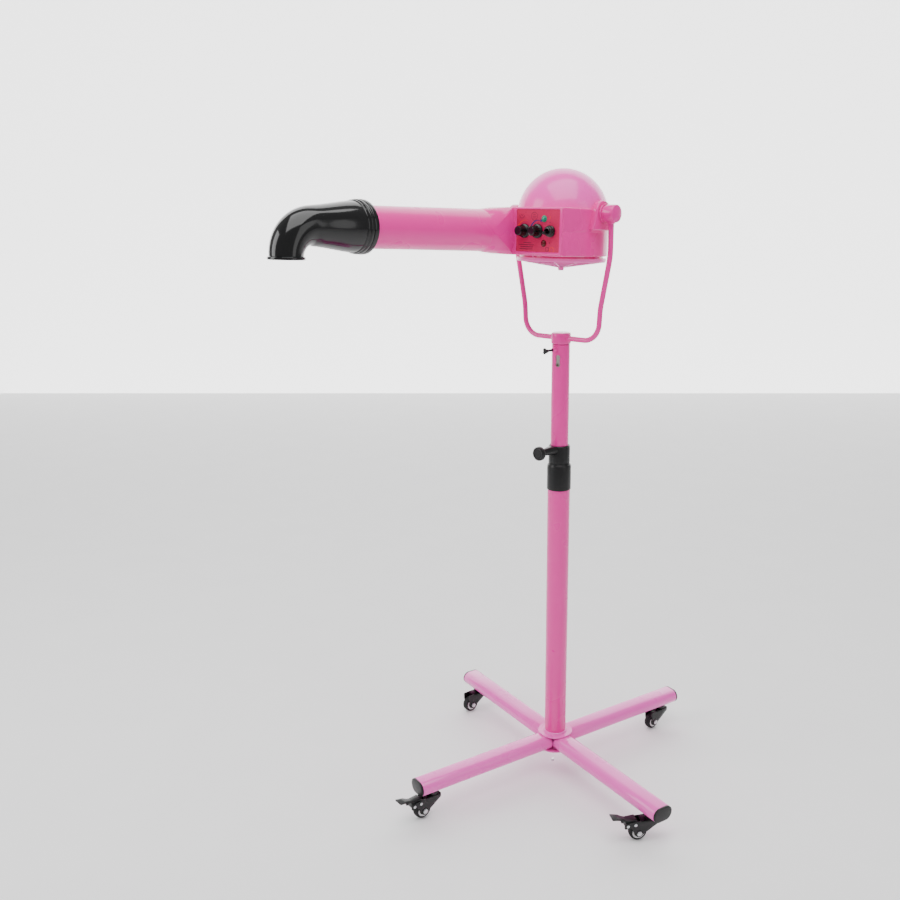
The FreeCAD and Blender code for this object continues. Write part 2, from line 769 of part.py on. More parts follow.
past = 200
ring_foot = num("sleeve_top")
ring_top = num("ring_top")
boss_level = V(0, 0, num("height_knob_level"))
boss_start = num("ring_boss_start")
boss_end = num("height_knob_reach - ring_boss_gap")
ring_core = cylinder(num("ring_radius"), ring_top - ring_foot, V(0, 0, ring_foot))
ring_boss = Part.makeCone(
    num("ring_boss_foot"), num("ring_boss_tip"), boss_end - boss_start,
    boss_level - Y_AXIS * boss_start, -Y_AXIS,
)
ring_bore = cylinder(num("upper_tube_radius + ring_fit"), past, V(0, 0, ring_foot - past / 2))
screw_bore = cylinder(num("height_screw_radius + running_fit"), past, boss_level, -Y_AXIS)
ring_height = box(-past, past, -past, past, ring_foot, ring_top)
made("mast_ring", ring_core.fuse(ring_boss).common(ring_height).cut(ring_bore).cut(screw_bore))

turned(
    "height_knob",
    [
        ("0", "upper_tube_radius + running_gap"),
        ("height_screw_radius", "upper_tube_radius + running_gap"),
        ("height_screw_radius", "height_knob_reach"),
        ("height_knob_radius - height_knob_edge", "height_knob_reach"),
        ("height_knob_radius", "height_knob_reach + height_knob_edge"),
        ("height_knob_radius", "height_knob_reach + height_knob_width - height_knob_edge"),
        ("height_knob_radius - height_knob_edge", "height_knob_reach + height_knob_width"),
        ("0", "height_knob_reach + height_knob_width"),
    ],
    toward_front("height_knob_level"),
)


def window_cut():
    """Dumbbell window: two round lobes joined by a narrower slot."""
    lobe = num("window_width") / 2
    rise = num("window_height") / 2 - lobe
    reach = 2 * num("upper_tube_radius")
    shape = box(-num("window_waist") / 2, num("window_waist") / 2, -rise, rise, 0, reach)
    for level in (-rise, rise):
        shape = shape.fuse(cylinder(lobe, reach, V(0, level, 0)))
    shape.Placement = toward_front("window_level", "window_turn")
    return shape


tube_foot = num("upper_tube_foot")
tube_length = num("upper_tube_top - upper_tube_foot")
lock_level = V(0, 0, num("lock_level"))
upper_tube = cylinder(num("upper_tube_radius"), tube_length, V(0, 0, tube_foot))
upper_bore = cylinder(num(UPPER_BORE), tube_length, V(0, 0, tube_foot))
lock_bore = cylinder(num("lock_screw_radius + running_fit"), past, lock_level, -Y_AXIS)
made("upper_tube", upper_tube.cut(upper_bore).cut(window_cut()).cut(lock_bore))
lock_root = num("lock_boss_root")
lock_boss = Part.makeCone(
    num("lock_boss_radius"), num("lock_boss_radius") / 2, num("lock_boss_length") + lock_root,
    lock_level - Y_AXIS * (num("upper_tube_radius") - lock_root), -Y_AXIS,
)
tube_room = cylinder(num("upper_tube_radius"), past, lock_level - Z_AXIS * (past / 2))
made("lock_boss", lock_boss.cut(tube_room).cut(lock_bore))
turned(
    "lock_screw",
    [
        ("0", "spindle_radius + running_gap"),
        ("lock_screw_radius", "spindle_radius + running_gap"),
        ("lock_screw_radius", "lock_knob_reach"),
        ("lock_knob_radius - lock_knob_edge", "lock_knob_reach"),
        ("lock_knob_radius", "lock_knob_reach + lock_knob_edge"),
        ("lock_knob_radius", "lock_knob_reach + lock_knob_width - lock_knob_edge"),
        ("lock_knob_radius - lock_knob_edge", "lock_knob_reach + lock_knob_width"),
        ("0", "lock_knob_reach + lock_knob_width"),
    ],
    toward_front("lock_level"),
)
SPINDLE_FOOT = "upper_tube_top - spindle_length"
bush = cylinder(num(UPPER_BORE), num("spindle_length"), V(0, 0, num(SPINDLE_FOOT)))
spindle_bore = cylinder(num("spindle_radius + running_fit"), past, V(0, 0, num(SPINDLE_FOOT) - past / 2))
bush = bush.cut(spindle_bore).cut(lock_bore)
screw_drop = num("window_width / 2 - window_height / 2")
screw_frame = toward_front("window_level", "window_turn")
screw_tip = num("bush_screw_tip")
screw_head = num(UPPER_BORE) + num("bush_screw_inset")
bush_screw = cylinder(num("bush_screw_radius"), screw_head - screw_tip, V(0, screw_drop, screw_tip))
bush_screw.Placement = screw_frame
bush = bush.cut(bush_screw)
made("spindle_bush", bush)
made("bush_screw", bush_screw)

# ---- yoke ----------------------------------------------------------------------------------

turned(
    "yoke_hub",
    [
        ("0", f"{SPINDLE_FOOT} + spindle_end_gap"),
        ("spindle_radius", f"{SPINDLE_FOOT} + spindle_end_gap"),
        ("spindle_radius", "upper_tube_top + running_gap"),
        ("hub_radius - hub_chamfer", "upper_tube_top + running_gap"),
        ("hub_radius", "upper_tube_top + running_gap + hub_chamfer"),
        ("hub_radius", "upper_tube_top + hub_height - hub_edge"),
        ("hub_radius - hub_edge", "upper_tube_top + hub_height"),
        ("0", "upper_tube_top + hub_height"),
    ],
)


def rounded_path(corners, radii):
    """Wire of straight runs with a tangent arc of the given radius at each inner corner."""
    edges = []
    start = corners[0]
    for i, radius in enumerate(radii, start=1):
        back = (corners[i - 1] - corners[i]).normalize()
        ahead = (corners[i + 1] - corners[i]).normalize()
        half_turn = (math.pi - back.getAngle(ahead)) / 2
        reach = radius * math.tan(half_turn)
        middle = (back + ahead).normalize() * (radius / math.cos(half_turn) - radius)
        arc_start = corners[i] + back * reach
        arc_end = corners[i] + ahead * reach
        edges.append(Part.LineSegment(start, arc_start).toShape())
        edges.append(Part.Arc(arc_start, corners[i] + middle, arc_end).toShape())
        start = arc_end
    edges.append(Part.LineSegment(start, corners[-1]).toShape())
    return Part.Wire(edges)


def yoke_rod():
    """Bent round bar from the hub up to the pivot sleeve, on the +X side."""
    bar = num("yoke_bar_height")
    corners = [
        V(0, 0, bar),
        V(num("yoke_foot_width"), 0, bar),
        V(num("yoke_knee_width"), 0, num("yoke_knee_height")),
        V(num("yoke_half_width"), 0, num("yoke_shoulder_height")),
        V(num("yoke_half_width"), 0, num("pivot_height")),
    ]
    easy = num("yoke_easy_bend")
    path = rounded_path(corners, [num("yoke_corner"), easy, easy])
    section = Part.Wire([Part.Circle(corners[0], X_AXIS, num("rod_radius")).toShape()])
    rod = path.makePipeShell([section], True, False)
    hub = cylinder(num("hub_radius"), past, V(0, 0, bar - past / 2))
    sleeve = cylinder(num("pivot_sleeve_radius"), past, V(0, 0, num("pivot_height")), X_AXIS)
    rod = rod.cut(hub).cut(sleeve)
    return max(rod.Solids, key=lambda solid: solid.Volume)


right_rod = yoke_rod()
made("yoke_rod_right", right_rod)
made("yoke_rod_left", right_rod.mirror(V(), X_AXIS))

SLEEVE_START = "yoke_half_width - pivot_sleeve_inset"
SLEEVE_END = f"{SLEEVE_START} + pivot_sleeve_length"


def across(side):
    """Frame on the pivot axis whose +Z runs outwards to one side."""
    return FreeCAD.Placement(V(0, 0, num("pivot_height")), FreeCAD.Rotation(Y_AXIS, 90 * side))


for name, side in (("right", 1), ("left", -1)):
    turned(
        "pivot_sleeve_" + name,
        [
            ("0", f"{SLEEVE_END} - pivot_sleeve_end"),
            ("pivot_bolt_radius + running_fit", f"{SLEEVE_END} - pivot_sleeve_end"),
            ("pivot_bolt_radius + running_fit", SLEEVE_START),
            ("pivot_sleeve_radius", SLEEVE_START),
            ("pivot_sleeve_radius", f"{SLEEVE_END} - pivot_sleeve_edge"),
            ("pivot_sleeve_radius - pivot_sleeve_edge", SLEEVE_END),
            ("0", SLEEVE_END),
        ],
        across(side),
    )

# ---- head casing ---------------------------------------------------------------------------

# The head's own frame has its origin on the pivot axis; the duct runs along its -Y.
head = FreeCAD.Placement(V(0, 0, num("pivot_height")), FreeCAD.Rotation(X_AXIS, -num("head_tilt")))
CASE_MIDDLE = "(case_top + case_foot) / 2"
half_width = num("case_half_width")
case_front = num("case_front")
case_top = num("case_top")
case_foot = num("case_foot")
case_middle = num(CASE_MIDDLE)
case_wall = num("case_wall")
box_left = -half_width
box_right = box_left + num("duct_box_width")
duct_across = (box_left + box_right) / 2
root_length = num("duct_root_length")
beyond = 400


def case_block(inset):
    """Casing in plan: flat front and sides, half-round back; inset on every side."""
    half = half_width - inset
    front = -case_front + inset
    edges = [
        Part.LineSegment(V(-half, 0, 0), V(-half, front, 0)).toShape(),
        Part.LineSegment(V(-half, front, 0), V(half, front, 0)).toShape(),
        Part.LineSegment(V(half, front, 0), V(half, 0, 0)).toShape(),
        Part.Arc(V(half, 0, 0), V(0, half, 0), V(-half, 0, 0)).toShape(),
    ]
    block = Part.Face(Part.Wire(edges)).extrude(V(0, 0, case_top - case_foot - 2 * inset))
    block.translate(V(0, 0, case_foot + inset))
    return block


def box_wire(inset, y):
    corners = [
        V(box_left + inset, y, case_foot + inset),
        V(box_right - inset, y, case_foot + inset),
        V(box_right - inset, y, case_top - inset),
        V(box_left + inset, y, case_top - inset),
    ]
    return Part.makePolygon(corners + corners[:1])


def duct_root(inset, start):
    """Blend from the casing's square outlet to the round duct."""
    end = -case_front - root_length
    rim = Part.Circle(V(duct_across, end, case_middle), Y_AXIS, num("duct_root_radius") - inset)
    return Part.makeLoft([box_wire(inset, start), Part.Wire([rim.toShape()])], True, False)


def arch_boss(side):
    """Raised arch on the casing's side round the pivot bolt, widening down the wall."""
    radius = num("boss_radius")
    foot = case_middle + num("boss_foot_rise")
    wide_foot = radius + num("boss_spread")
    corners = [V(0, -radius, 0), V(0, -wide_foot, foot), V(0, wide_foot, foot), V(0, radius, 0)]
    edges = [
        Part.LineSegment(corners[0], corners[1]).toShape(),
        Part.LineSegment(corners[1], corners[2]).toShape(),
        Part.LineSegment(corners[2], corners[3]).toShape(),
        Part.Arc(corners[3], V(0, 0, radius), corners[0]).toShape(),
    ]
    rise = num("boss_height")
    boss = Part.Face(Part.Wire(edges)).extrude(V(side * 2 * rise, 0, 0))
    boss.translate(V(side * (half_width - rise), 0, 0))
    dome_room = Part.makeSphere(num("dome_radius + running_gap"), V(0, 0, num("dome_centre")))
    above_case = box(-beyond, beyond, -beyond, beyond, case_top, beyond)
    return boss.cut(dome_room.common(above_case))


bolt_axis_hole = cylinder(num("pivot_bolt_radius"), 2 * beyond, V(-beyond, 0, 0), X_AXIS)
case_outer = case_block(0).fuse(duct_root(0, -case_front)).fuse(arch_boss(1)).fuse(arch_boss(-1))
case_inner = case_block(case_wall).fuse(duct_root(case_wall, -case_front + case_wall))
through = 4 * case_wall
dome_mouth = cylinder(num("dome_mouth"), through, V(0, 0, case_top - through / 2))
intake = cylinder(num("intake_radius"), through, V(0, 0, case_foot - through / 2))
mouth_radius = num("duct_root_radius - case_wall - duct_mouth_step")
mouth_start = V(duct_across, -case_front - root_length - 2, case_middle)
duct_mouth = cylinder(mouth_radius, 4, mouth_start, Y_AXIS)
# The arch bosses are solid up to the inner side of the wall, so the cavity keeps its flat sides.
inner_half = half_width - case_wall
bolt_head_room = cylinder(
    num("pivot_bolt_head_radius + running_gap"), 2 * inner_half, V(-inner_half, 0, 0), X_AXIS
)
casing = case_outer.cut(case_inner).cut(dome_mouth).cut(intake).cut(duct_mouth).cut(bolt_axis_hole)
casing = casing.cut(bolt_head_room)
for across_at in ("heat_knob_across", "air_knob_across", "toggle_across"):
    start = V(num(across_at), -case_front - through / 2, num("control_level"))
    casing = casing.cut(cylinder(num("knob_shaft_radius + control_clearance"), through, start, Y_AXIS))
upper_half = box(-beyond, beyond, -beyond, beyond, case_middle, beyond)
lower_half = box(-beyond, beyond, -beyond, beyond, -beyond, case_middle)
made("housing_upper", casing.common(upper_half), head)
made("housing_lower", casing.common(lower_half), head)

dome_outer = doc.addObject("Part::Sphere", "dome_outer")
dome_outer.setExpression("Radius", linked("dome_radius"))
dome_inner = doc.addObject("Part::Sphere", "dome_inner")
dome_inner.setExpression("Radius", linked("dome_radius - dome_wall"))
dome_shell = doc.addObject("Part::Cut", "dome_shell")
dome_shell.Base = dome_outer
dome_shell.Tool = dome_inner
dome_keep = doc.addObject("Part::Cylinder", "dome_keep")
dome_keep.setExpression("Radius", linked("2 * dome_radius"))
dome_keep.setExpression("Height", linked("2 * dome_radius"))
dome_keep.setExpression("Placement.Base.z", linked("case_top - dome_centre"))
dome = doc.addObject("Part::Common", "dome")
dome.Base = dome_shell
dome.Tool = dome_keep
doc.recompute()
keep(dome, "dome_cover", head * frame(z="dome_centre"))


def in_head(x, y, z):
    return head * frame(x=x, y=y, z=z)


def facing_front(x, z, y="-case_front"):
    """Frame in the head whose +Z points forward, out of the front face."""
    return in_head(x, y, z) * FreeCAD.Placement(V(), FreeCAD.Rotation(X_AXIS, 90))


DUCT_ACROSS = "-case_half_width + duct_box_width / 2"
DUCT_START = "case_front + duct_root_length"
turned(
    "duct_tube",
    [
        ("duct_root_radius - duct_wall", DUCT_START),
        ("duct_root_radius", DUCT_START),
        ("duct_end_radius", "elbow_start - duct_parallel_run"),
        ("duct_end_radius", "duct_end"),
        ("duct_end_radius - duct_wall", "duct_end"),
        ("duct_end_radius - duct_wall", "elbow_start - duct_parallel_run"),
    ],
    facing_front(DUCT_ACROSS, CASE_MIDDLE, "0"),
)
heater = new_body("heater_core")
boards = sketch_on(heater, "XY_Plane")
reach = "heater_radius"
half_board = "heater_board / 2"
outline(
    boards,
    [(reach, f"-{half_board}"), (reach, half_board), (half_board, half_board), (half_board, reach),
     (f"-{half_board}", reach), (f"-{half_board}", half_board), (f"-{reach}", half_board),
     (f"-{reach}", f"-{half_board}"), (f"-{half_board}", f"-{half_board}"), (f"-{half_board}", f"-{reach}"),
     (half_board, f"-{reach}"), (half_board, f"-{half_board}")],
)
pad(heater, boards, "heater_length")
revolve(heater, *[
    tube_outline(
        "heater_radius - heater_ring_width", "heater_radius", f"{step} * heater_length - heater_ring_length",
        f"{step} * heater_length",
    )
    for step in ("0.25", "0.5", "0.75", "1")
])
keep(heater, "heater_core", facing_front(DUCT_ACROSS, CASE_MIDDLE, "-heater_start"))

# ---- intake grille, blower -----------------------------------------------------------------

grille = new_body("inlet_grille")
RIM_TOP = "case_foot - grille_gap"
RIM_FOOT = f"{RIM_TOP} - grille_rim_height"
DISH_FOOT = f"{RIM_TOP} - grille_depth"
revolve(grille, [
    ("0", DISH_FOOT + " + grille_bar"), ("0", f"{DISH_FOOT} - grille_nub_height"),
    ("grille_nub_radius - grille_nub_edge", f"{DISH_FOOT} - grille_nub_height"),
    ("grille_nub_radius", f"{DISH_FOOT} - grille_nub_shoulder"),
    ("grille_nub_radius", DISH_FOOT + " + grille_bar"),
])
rib = sketch_on(grille, "XZ_Plane")
outline(rib, [
    ("grille_nub_radius - grille_rib_overlap", DISH_FOOT), ("grille_radius - grille_rim_edge", RIM_FOOT),
    ("grille_radius - grille_rim_edge", f"{RIM_FOOT} + grille_bar"),
    ("grille_nub_radius - grille_rib_overlap", f"{DISH_FOOT} + grille_bar"),
])
rib_pad = pad(grille, rib, "grille_bar", midplane=True)
polar(grille, rib_pad, "grille_bars")


dish_rings = [[
    ("grille_radius - grille_rim_width", RIM_FOOT), ("grille_radius", f"{RIM_FOOT} + grille_rim_edge"),
    ("grille_radius", RIM_TOP), ("grille_radius - grille_rim_width", RIM_TOP),
]]
for share in ("0.3", "0.52", "0.76"):
    level = f"{DISH_FOOT} + (grille_depth - grille_rim_height) * {share}"
    hoop = f"{share} * grille_radius"
    dish_rings.append(
        tube_outline(f"{hoop} - grille_bar / 2", f"{hoop} + grille_bar / 2", level, f"{level} + grille_bar")
    )
revolve(grille, *dish_rings)
post = sketch_on(grille, "XY_Plane")
for sign_x, sign_y in (("1", "0"), ("-1", "0"), ("0", "1"), ("0", "-1")):
    post_x = f"{sign_x} * (grille_radius - grille_post_inset)"
    post_y = f"{sign_y} * (grille_radius - grille_post_inset)"
    circle(post, post_x, post_y, "grille_post_radius")
post.AttachmentOffset = frame(z=RIM_TOP)
pad(grille, post, "grille_gap")
keep(grille, "inlet_grille", head)

SHAFT_BORE = "impeller_shaft_radius + running_fit"
turned(
    "motor",
    [
        (SHAFT_BORE, "motor_foot"), ("motor_radius - motor_foot_edge", "motor_foot"),
        ("motor_radius", "motor_foot + motor_foot_edge"), ("motor_radius", "case_top"),
        ("motor_plate_radius", "case_top"), ("motor_plate_radius", "case_top + motor_plate"),
        ("motor_radius", "case_top + motor_plate"), ("motor_radius", "motor_top - motor_top_edge"),
        ("motor_radius - motor_top_edge", "motor_top"), ("0", "motor_top"),
        ("0", "motor_foot + motor_shaft_depth"), (SHAFT_BORE, "motor_foot + motor_shaft_depth"),
    ],
    head,
)
impeller = new_body("impeller")
SHAFT_TOP = "motor_foot + motor_shaft_depth - impeller_shaft_gap"
revolve(impeller, [
    ("0", "impeller_foot + impeller_hub_rise"),
    ("impeller_hub_foot_radius", "impeller_foot + impeller_hub_rise"),
    ("impeller_hub_radius", "impeller_top - impeller_disc"),
    ("impeller_radius", "impeller_top - impeller_disc"),
    ("impeller_radius", "impeller_top"), ("impeller_boss_radius", "impeller_top"),
    ("impeller_boss_radius", "impeller_top + impeller_boss_height"),
    ("impeller_shaft_radius", "impeller_top + impeller_boss_height"), ("impeller_shaft_radius", SHAFT_TOP),
    ("0", SHAFT_TOP),
])
BLADE_OUTER = "impeller_radius - impeller_blade_inset"
BLADE_INNER = f"{BLADE_OUTER} - impeller_blade_width"
BLADE_TOP = "impeller_top - impeller_disc / 2"
blade = sketch_on(impeller, "XZ_Plane")
outline(blade, tube_outline(BLADE_INNER, BLADE_OUTER, "impeller_foot", BLADE_TOP))
blade_pad = pad(impeller, blade, "impeller_blade_thickness", midplane=True)
polar(impeller, blade_pad, "impeller_blades")
revolve(
    impeller,
    tube_outline(
        "impeller_radius - impeller_ring_width", "impeller_radius",
        "impeller_foot", "impeller_foot + impeller_disc",
    ),
)
keep(impeller, "impeller", head)

pivot_parts = []
washer_parts = []
for side in (1, -1):
    wall = half_width + num("boss_height")
    start = half_width - case_wall
    end = num(f"{SLEEVE_END} - pivot_sleeve_end") - num("running_gap")
    shank = cylinder(num("pivot_bolt_radius"), end - start, V(side * start, 0, 0), X_AXIS * side)
    head_length = num("pivot_bolt_head")
    inner_head = cylinder(
        num("pivot_bolt_head_radius"), head_length, V(side * (start - head_length), 0, 0), X_AXIS * side
    )
    pivot_parts.append(shank.fuse(inner_head).removeSplitter())
    outer_face = num(SLEEVE_START) - num("running_gap")
    step = cylinder(num("pivot_washer_radius"), (outer_face - wall) / 2, V(side * wall, 0, 0), X_AXIS * side)
    nose = cylinder(num("pivot_washer_step"), outer_face - wall, V(side * wall, 0, 0), X_AXIS * side)
    washer_parts.append(step.fuse(nose).removeSplitter().cut(bolt_axis_hole))
made("pivot_bolts", Part.makeCompound(pivot_parts), head)
made("pivot_washers", Part.makeCompound(washer_parts), head)

# ---- control panel -------------------------------------------------------------------------

PANEL_RIGHT = "case_half_width"
PANEL_TOP = "case_top - panel_margin"
PANEL_FOOT = "case_foot + panel_margin"
panel = new_body("control_panel")
plate = sketch_on(panel, "XY_Plane")
outline(plate, [("panel_left", PANEL_FOOT), (PANEL_RIGHT, PANEL_FOOT), (PANEL_RIGHT, PANEL_TOP),
                ("panel_left", PANEL_TOP)])
pad(panel, plate, "panel_thickness")
recess = sketch_on(panel, "XY_Plane")
recess.AttachmentOffset = frame(z="panel_thickness")
outline(recess, [
    ("panel_left + panel_left_border", f"{PANEL_FOOT} + panel_border"),
    (f"{PANEL_RIGHT} - panel_border", f"{PANEL_FOOT} + panel_border"),
    (f"{PANEL_RIGHT} - panel_border", f"{PANEL_TOP} - panel_border / 2"),
    ("panel_left + panel_left_border", f"{PANEL_TOP} - panel_border / 2"),
])
pocket(panel, recess, "panel_recess")
openings = sketch_on(panel, "XY_Plane")
for across_at in ("heat_knob_across", "air_knob_across"):
    circle(openings, across_at, "control_level", "knob_shaft_radius + running_fit")
circle(openings, "toggle_across", "control_level", "toggle_boot_radius - toggle_boot_wall")
for sign in ("1", "-1"):
    circle(openings, "lamp_across", f"control_level + {sign} * lamp_offset", "lamp_radius - lamp_step")
pocket(panel, openings, "2 * panel_thickness", midplane=True)
keep(panel, "control_panel", facing_front("0", "0"))

FACE = "panel_thickness - panel_recess"
for name, across_at in (("heat_knob", "heat_knob_across"), ("airflow_knob", "air_knob_across")):
    turned(
        name,
        [
            ("0", "-knob_shaft_depth"), ("knob_shaft_radius", "-knob_shaft_depth"),
            ("knob_shaft_radius", f"{FACE} + running_gap"), ("knob_skirt_radius", f"{FACE} + running_gap"),
            ("knob_skirt_radius", f"{FACE} + knob_skirt_height - knob_edge"),
            ("knob_skirt_radius - knob_skirt_edge", f"{FACE} + knob_skirt_height"),
            ("knob_grip_radius + knob_grip_draft", f"{FACE} + knob_skirt_height + knob_edge"),
            ("knob_grip_radius", f"{FACE} + knob_height - knob_edge"),
            ("knob_grip_radius - knob_edge", f"{FACE} + knob_height"), ("0", f"{FACE} + knob_height"),
        ],
        facing_front(across_at, "control_level"),
    )
for name, sign in (("run_lamp", "1"), ("heat_lamp", "-1")):
    turned(
        name,
        [
            ("0", "0"), ("lamp_radius - lamp_step", "0"), ("lamp_radius - lamp_step", FACE),
            ("lamp_radius", FACE), ("lamp_radius", f"{FACE} + lamp_rim"),
            ("lamp_radius - lamp_step", f"{FACE} + lamp_height - lamp_rim"),
            ("0", f"{FACE} + lamp_height"),
        ],
        facing_front("lamp_across", f"control_level + {sign} * lamp_offset"),
    )
BOOT_BORE = "toggle_boot_radius - toggle_boot_wall"
turned(
    "toggle_boot",
    [
        (BOOT_BORE, FACE), ("toggle_boot_radius", FACE), ("toggle_boot_radius", f"{FACE} + toggle_boot_foot"),
        ("toggle_boot_radius - toggle_boot_taper", f"{FACE} + toggle_boot_height"),
        (BOOT_BORE, f"{FACE} + toggle_boot_height"),
    ],
    facing_front("toggle_across", "control_level"),
)
lever_turn = FreeCAD.Placement(V(), FreeCAD.Rotation(X_AXIS, num("toggle_rest")))
lever = new_body("toggle_lever")
revolve(lever, [
    ("0", "-toggle_pin_radius"), ("toggle_lever_radius", "-toggle_pin_radius"),
    ("toggle_lever_radius", "toggle_boot_height"),
    ("toggle_lever_radius + toggle_lever_flare", "toggle_lever_length - toggle_lever_head"),
    ("toggle_lever_radius", "toggle_lever_length"), ("0", "toggle_lever_length"),
])
# The lever rocks on a short cross pin inside the panel.
lever_pin = sketch_on(lever, "YZ_Plane")
circle(lever_pin, "0", "0", "toggle_pin_radius")
pad(lever, lever_pin, "toggle_pin_length", midplane=True)
keep(lever, "toggle_lever", facing_front("toggle_across", "control_level") * lever_turn)

# ---- elbow nozzle --------------------------------------------------------------------------


def elbow_solid(inset, drop):
    """Solid elbow in the head's frame: a taper, then round sections stepped along the bend."""
    bend = num("elbow_bend_radius")
    bend_start = num("elbow_bend_start")
    inlet = num("elbow_inlet_radius") - inset
    outlet = num("elbow_outlet_radius") - inset
    collar_end = num("elbow_start + elbow_collar_length")
    throat = num("elbow_throat_radius") - inset
    stations = [(V(0, -elbow_start, 0), -Y_AXIS, inlet), (V(0, -collar_end, 0), -Y_AXIS, inlet)]
    steps = 10
    for step in range(steps + 1):
        share = step / steps
        angle = share * math.pi / 2
        centre = V(0, -bend_start - bend * math.sin(angle), -bend + bend * math.cos(angle))
        normal = V(0, -math.cos(angle), -math.sin(angle))
        radius = throat + (outlet - throat) * share
        stations.append((centre, normal, radius))
    stations.append((V(0, -bend_start - bend, -drop), -Z_AXIS, outlet))
    circles = [Part.Circle(spot, normal, radius) for spot, normal, radius in stations]
    solid = Part.makeLoft([Part.Wire([item.toShape()]) for item in circles], True, True)
    solid.translate(V(duct_across, 0, case_middle))
    return solid


elbow_start = num("elbow_start")
outlet_drop = num("elbow_outlet_drop")
outlet_y = -num("elbow_bend_start + elbow_bend_radius")
lip_foot = V(duct_across, outlet_y, case_middle - outlet_drop)
elbow_lip = cylinder(num("elbow_outlet_radius + elbow_lip"), num("elbow_lip_height"), lip_foot)
elbow_outside = elbow_solid(0, outlet_drop).fuse(elbow_lip)
# The inlet bore runs on the duct's end; the inner skin starts past it.
bore_end = -num("duct_end + duct_parallel_run")
inlet_bore = cylinder(
    num("duct_end_radius + running_fit"), -bore_end - elbow_start,
    V(duct_across, bore_end, case_middle), Y_AXIS,
)
inner_skin = elbow_solid(num("elbow_wall"), outlet_drop + 1)
inner_skin = inner_skin.common(box(-beyond, beyond, -2 * beyond, bore_end, -beyond, beyond))
elbow = elbow_outside.cut(inlet_bore).cut(inner_skin)
below_lip = 2
outlet_bore = cylinder(
    num("elbow_outlet_radius - elbow_wall"), 2 * num("elbow_lip_height"), lip_foot - Z_AXIS * below_lip
)
made("elbow", elbow.cut(outlet_bore), head)
turned(
    "elbow_collar",
    [
        ("elbow_inlet_radius", "elbow_start"), ("elbow_collar_radius - elbow_collar_edge", "elbow_start"),
        ("elbow_collar_radius", "elbow_start + elbow_collar_edge"),
        ("elbow_collar_radius", "elbow_start + elbow_collar_length - elbow_collar_edge"),
        ("elbow_collar_radius - elbow_collar_edge", "elbow_start + elbow_collar_length"),
        ("elbow_inlet_radius", "elbow_start + elbow_collar_length"),
    ],
    facing_front(DUCT_ACROSS, CASE_MIDDLE, "0"),
)

# ---- checks and files ----------------------------------------------------------------------

doc.recompute()
for item in doc.Objects:
    if "Invalid" in item.State or "Error" in item.State:
        raise RuntimeError(f"{item.Label}: {item.State}")
for piece in subparts:
    if piece.Shape.isNull() or not piece.Shape.isValid():
        raise RuntimeError(f"{piece.Label}: no valid shape")
os.makedirs("parts", exist_ok=True)
for piece in subparts:
    piece.Shape.exportStep(f"parts/{piece.Label}.step")
print(len(subparts), "sub-parts written")
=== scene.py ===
import json
import math

import bpy
from mathutils import Matrix, Vector


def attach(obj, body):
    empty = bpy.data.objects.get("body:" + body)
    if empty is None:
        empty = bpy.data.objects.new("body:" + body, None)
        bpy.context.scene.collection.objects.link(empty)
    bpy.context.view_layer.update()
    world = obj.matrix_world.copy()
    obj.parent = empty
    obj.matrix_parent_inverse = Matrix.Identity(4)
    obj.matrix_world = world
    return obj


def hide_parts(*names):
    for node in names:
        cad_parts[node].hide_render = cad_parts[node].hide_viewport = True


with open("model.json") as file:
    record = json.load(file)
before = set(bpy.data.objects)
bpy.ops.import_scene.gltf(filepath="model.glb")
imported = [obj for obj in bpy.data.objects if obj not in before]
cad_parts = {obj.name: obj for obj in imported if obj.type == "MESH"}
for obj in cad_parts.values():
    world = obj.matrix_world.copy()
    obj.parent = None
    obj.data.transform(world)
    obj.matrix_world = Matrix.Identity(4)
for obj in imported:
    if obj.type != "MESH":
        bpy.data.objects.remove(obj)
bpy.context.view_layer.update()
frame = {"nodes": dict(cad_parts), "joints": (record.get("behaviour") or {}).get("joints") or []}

# ---- view, floor and light ------------------------------------------------------------------
# The stand is seen from a little above head height, from its front right. It stands on a plain
# pale floor that runs up into a backdrop, under broad soft lamps as in a small photo studio.

MM = 0.001

camera = bpy.data.objects.new("camera", bpy.data.cameras.new("camera"))
bpy.context.scene.collection.objects.link(camera)
camera.location = (1.2904, -1.6123, 1.3018)
camera.rotation_euler = (math.radians(72.7), 0, math.radians(41.6))
camera.data.sensor_width = 36
camera.data.lens = 38.74
camera.data.shift_x = -0.068
camera.data.shift_y = 0.061
bpy.context.scene.camera = camera


def deselect():
    """The importer and every new piece leave something selected; operators act on all of it."""
    if bpy.context.object and bpy.context.object.mode != "OBJECT":
        bpy.ops.object.mode_set(mode="OBJECT")
    bpy.ops.object.select_all(action="DESELECT")


def pick(obj):
    """Makes one piece the only selected and the active one."""
    deselect()
    obj.select_set(True)
    bpy.context.view_layer.objects.active = obj
    return obj


def fresh(name):
    """Takes the primitive that was just added, under its own name."""
    obj = bpy.context.object
    obj.name = name
    obj.data.name = name
    return obj


def shader(name, colour, roughness=0.5, metallic=0.0, coat=0.0, coat_roughness=0.05):
    """A material with its plain numbers on the shader's own sockets."""
    material = bpy.data.materials.new(name)
    material.use_nodes = True
    surface = material.node_tree.nodes["Principled BSDF"]
    surface.inputs["Base Color"].default_value = (*colour, 1)
    surface.inputs["Roughness"].default_value = roughness
    surface.inputs["Specular IOR Level"].default_value = 0.3
    surface.inputs["Metallic"].default_value = metallic
    surface.inputs["Coat Weight"].default_value = coat
    surface.inputs["Coat Roughness"].default_value = coat_roughness
    return material, surface


def add_node(nodes, kind, **values):
    """Adds a shader node and sets its inputs; an underscore stands for a space."""
    node = nodes.new("ShaderNode" + kind)
    for key, value in values.items():
        node.inputs[key.replace("_", " ")].default_value = value
    return node


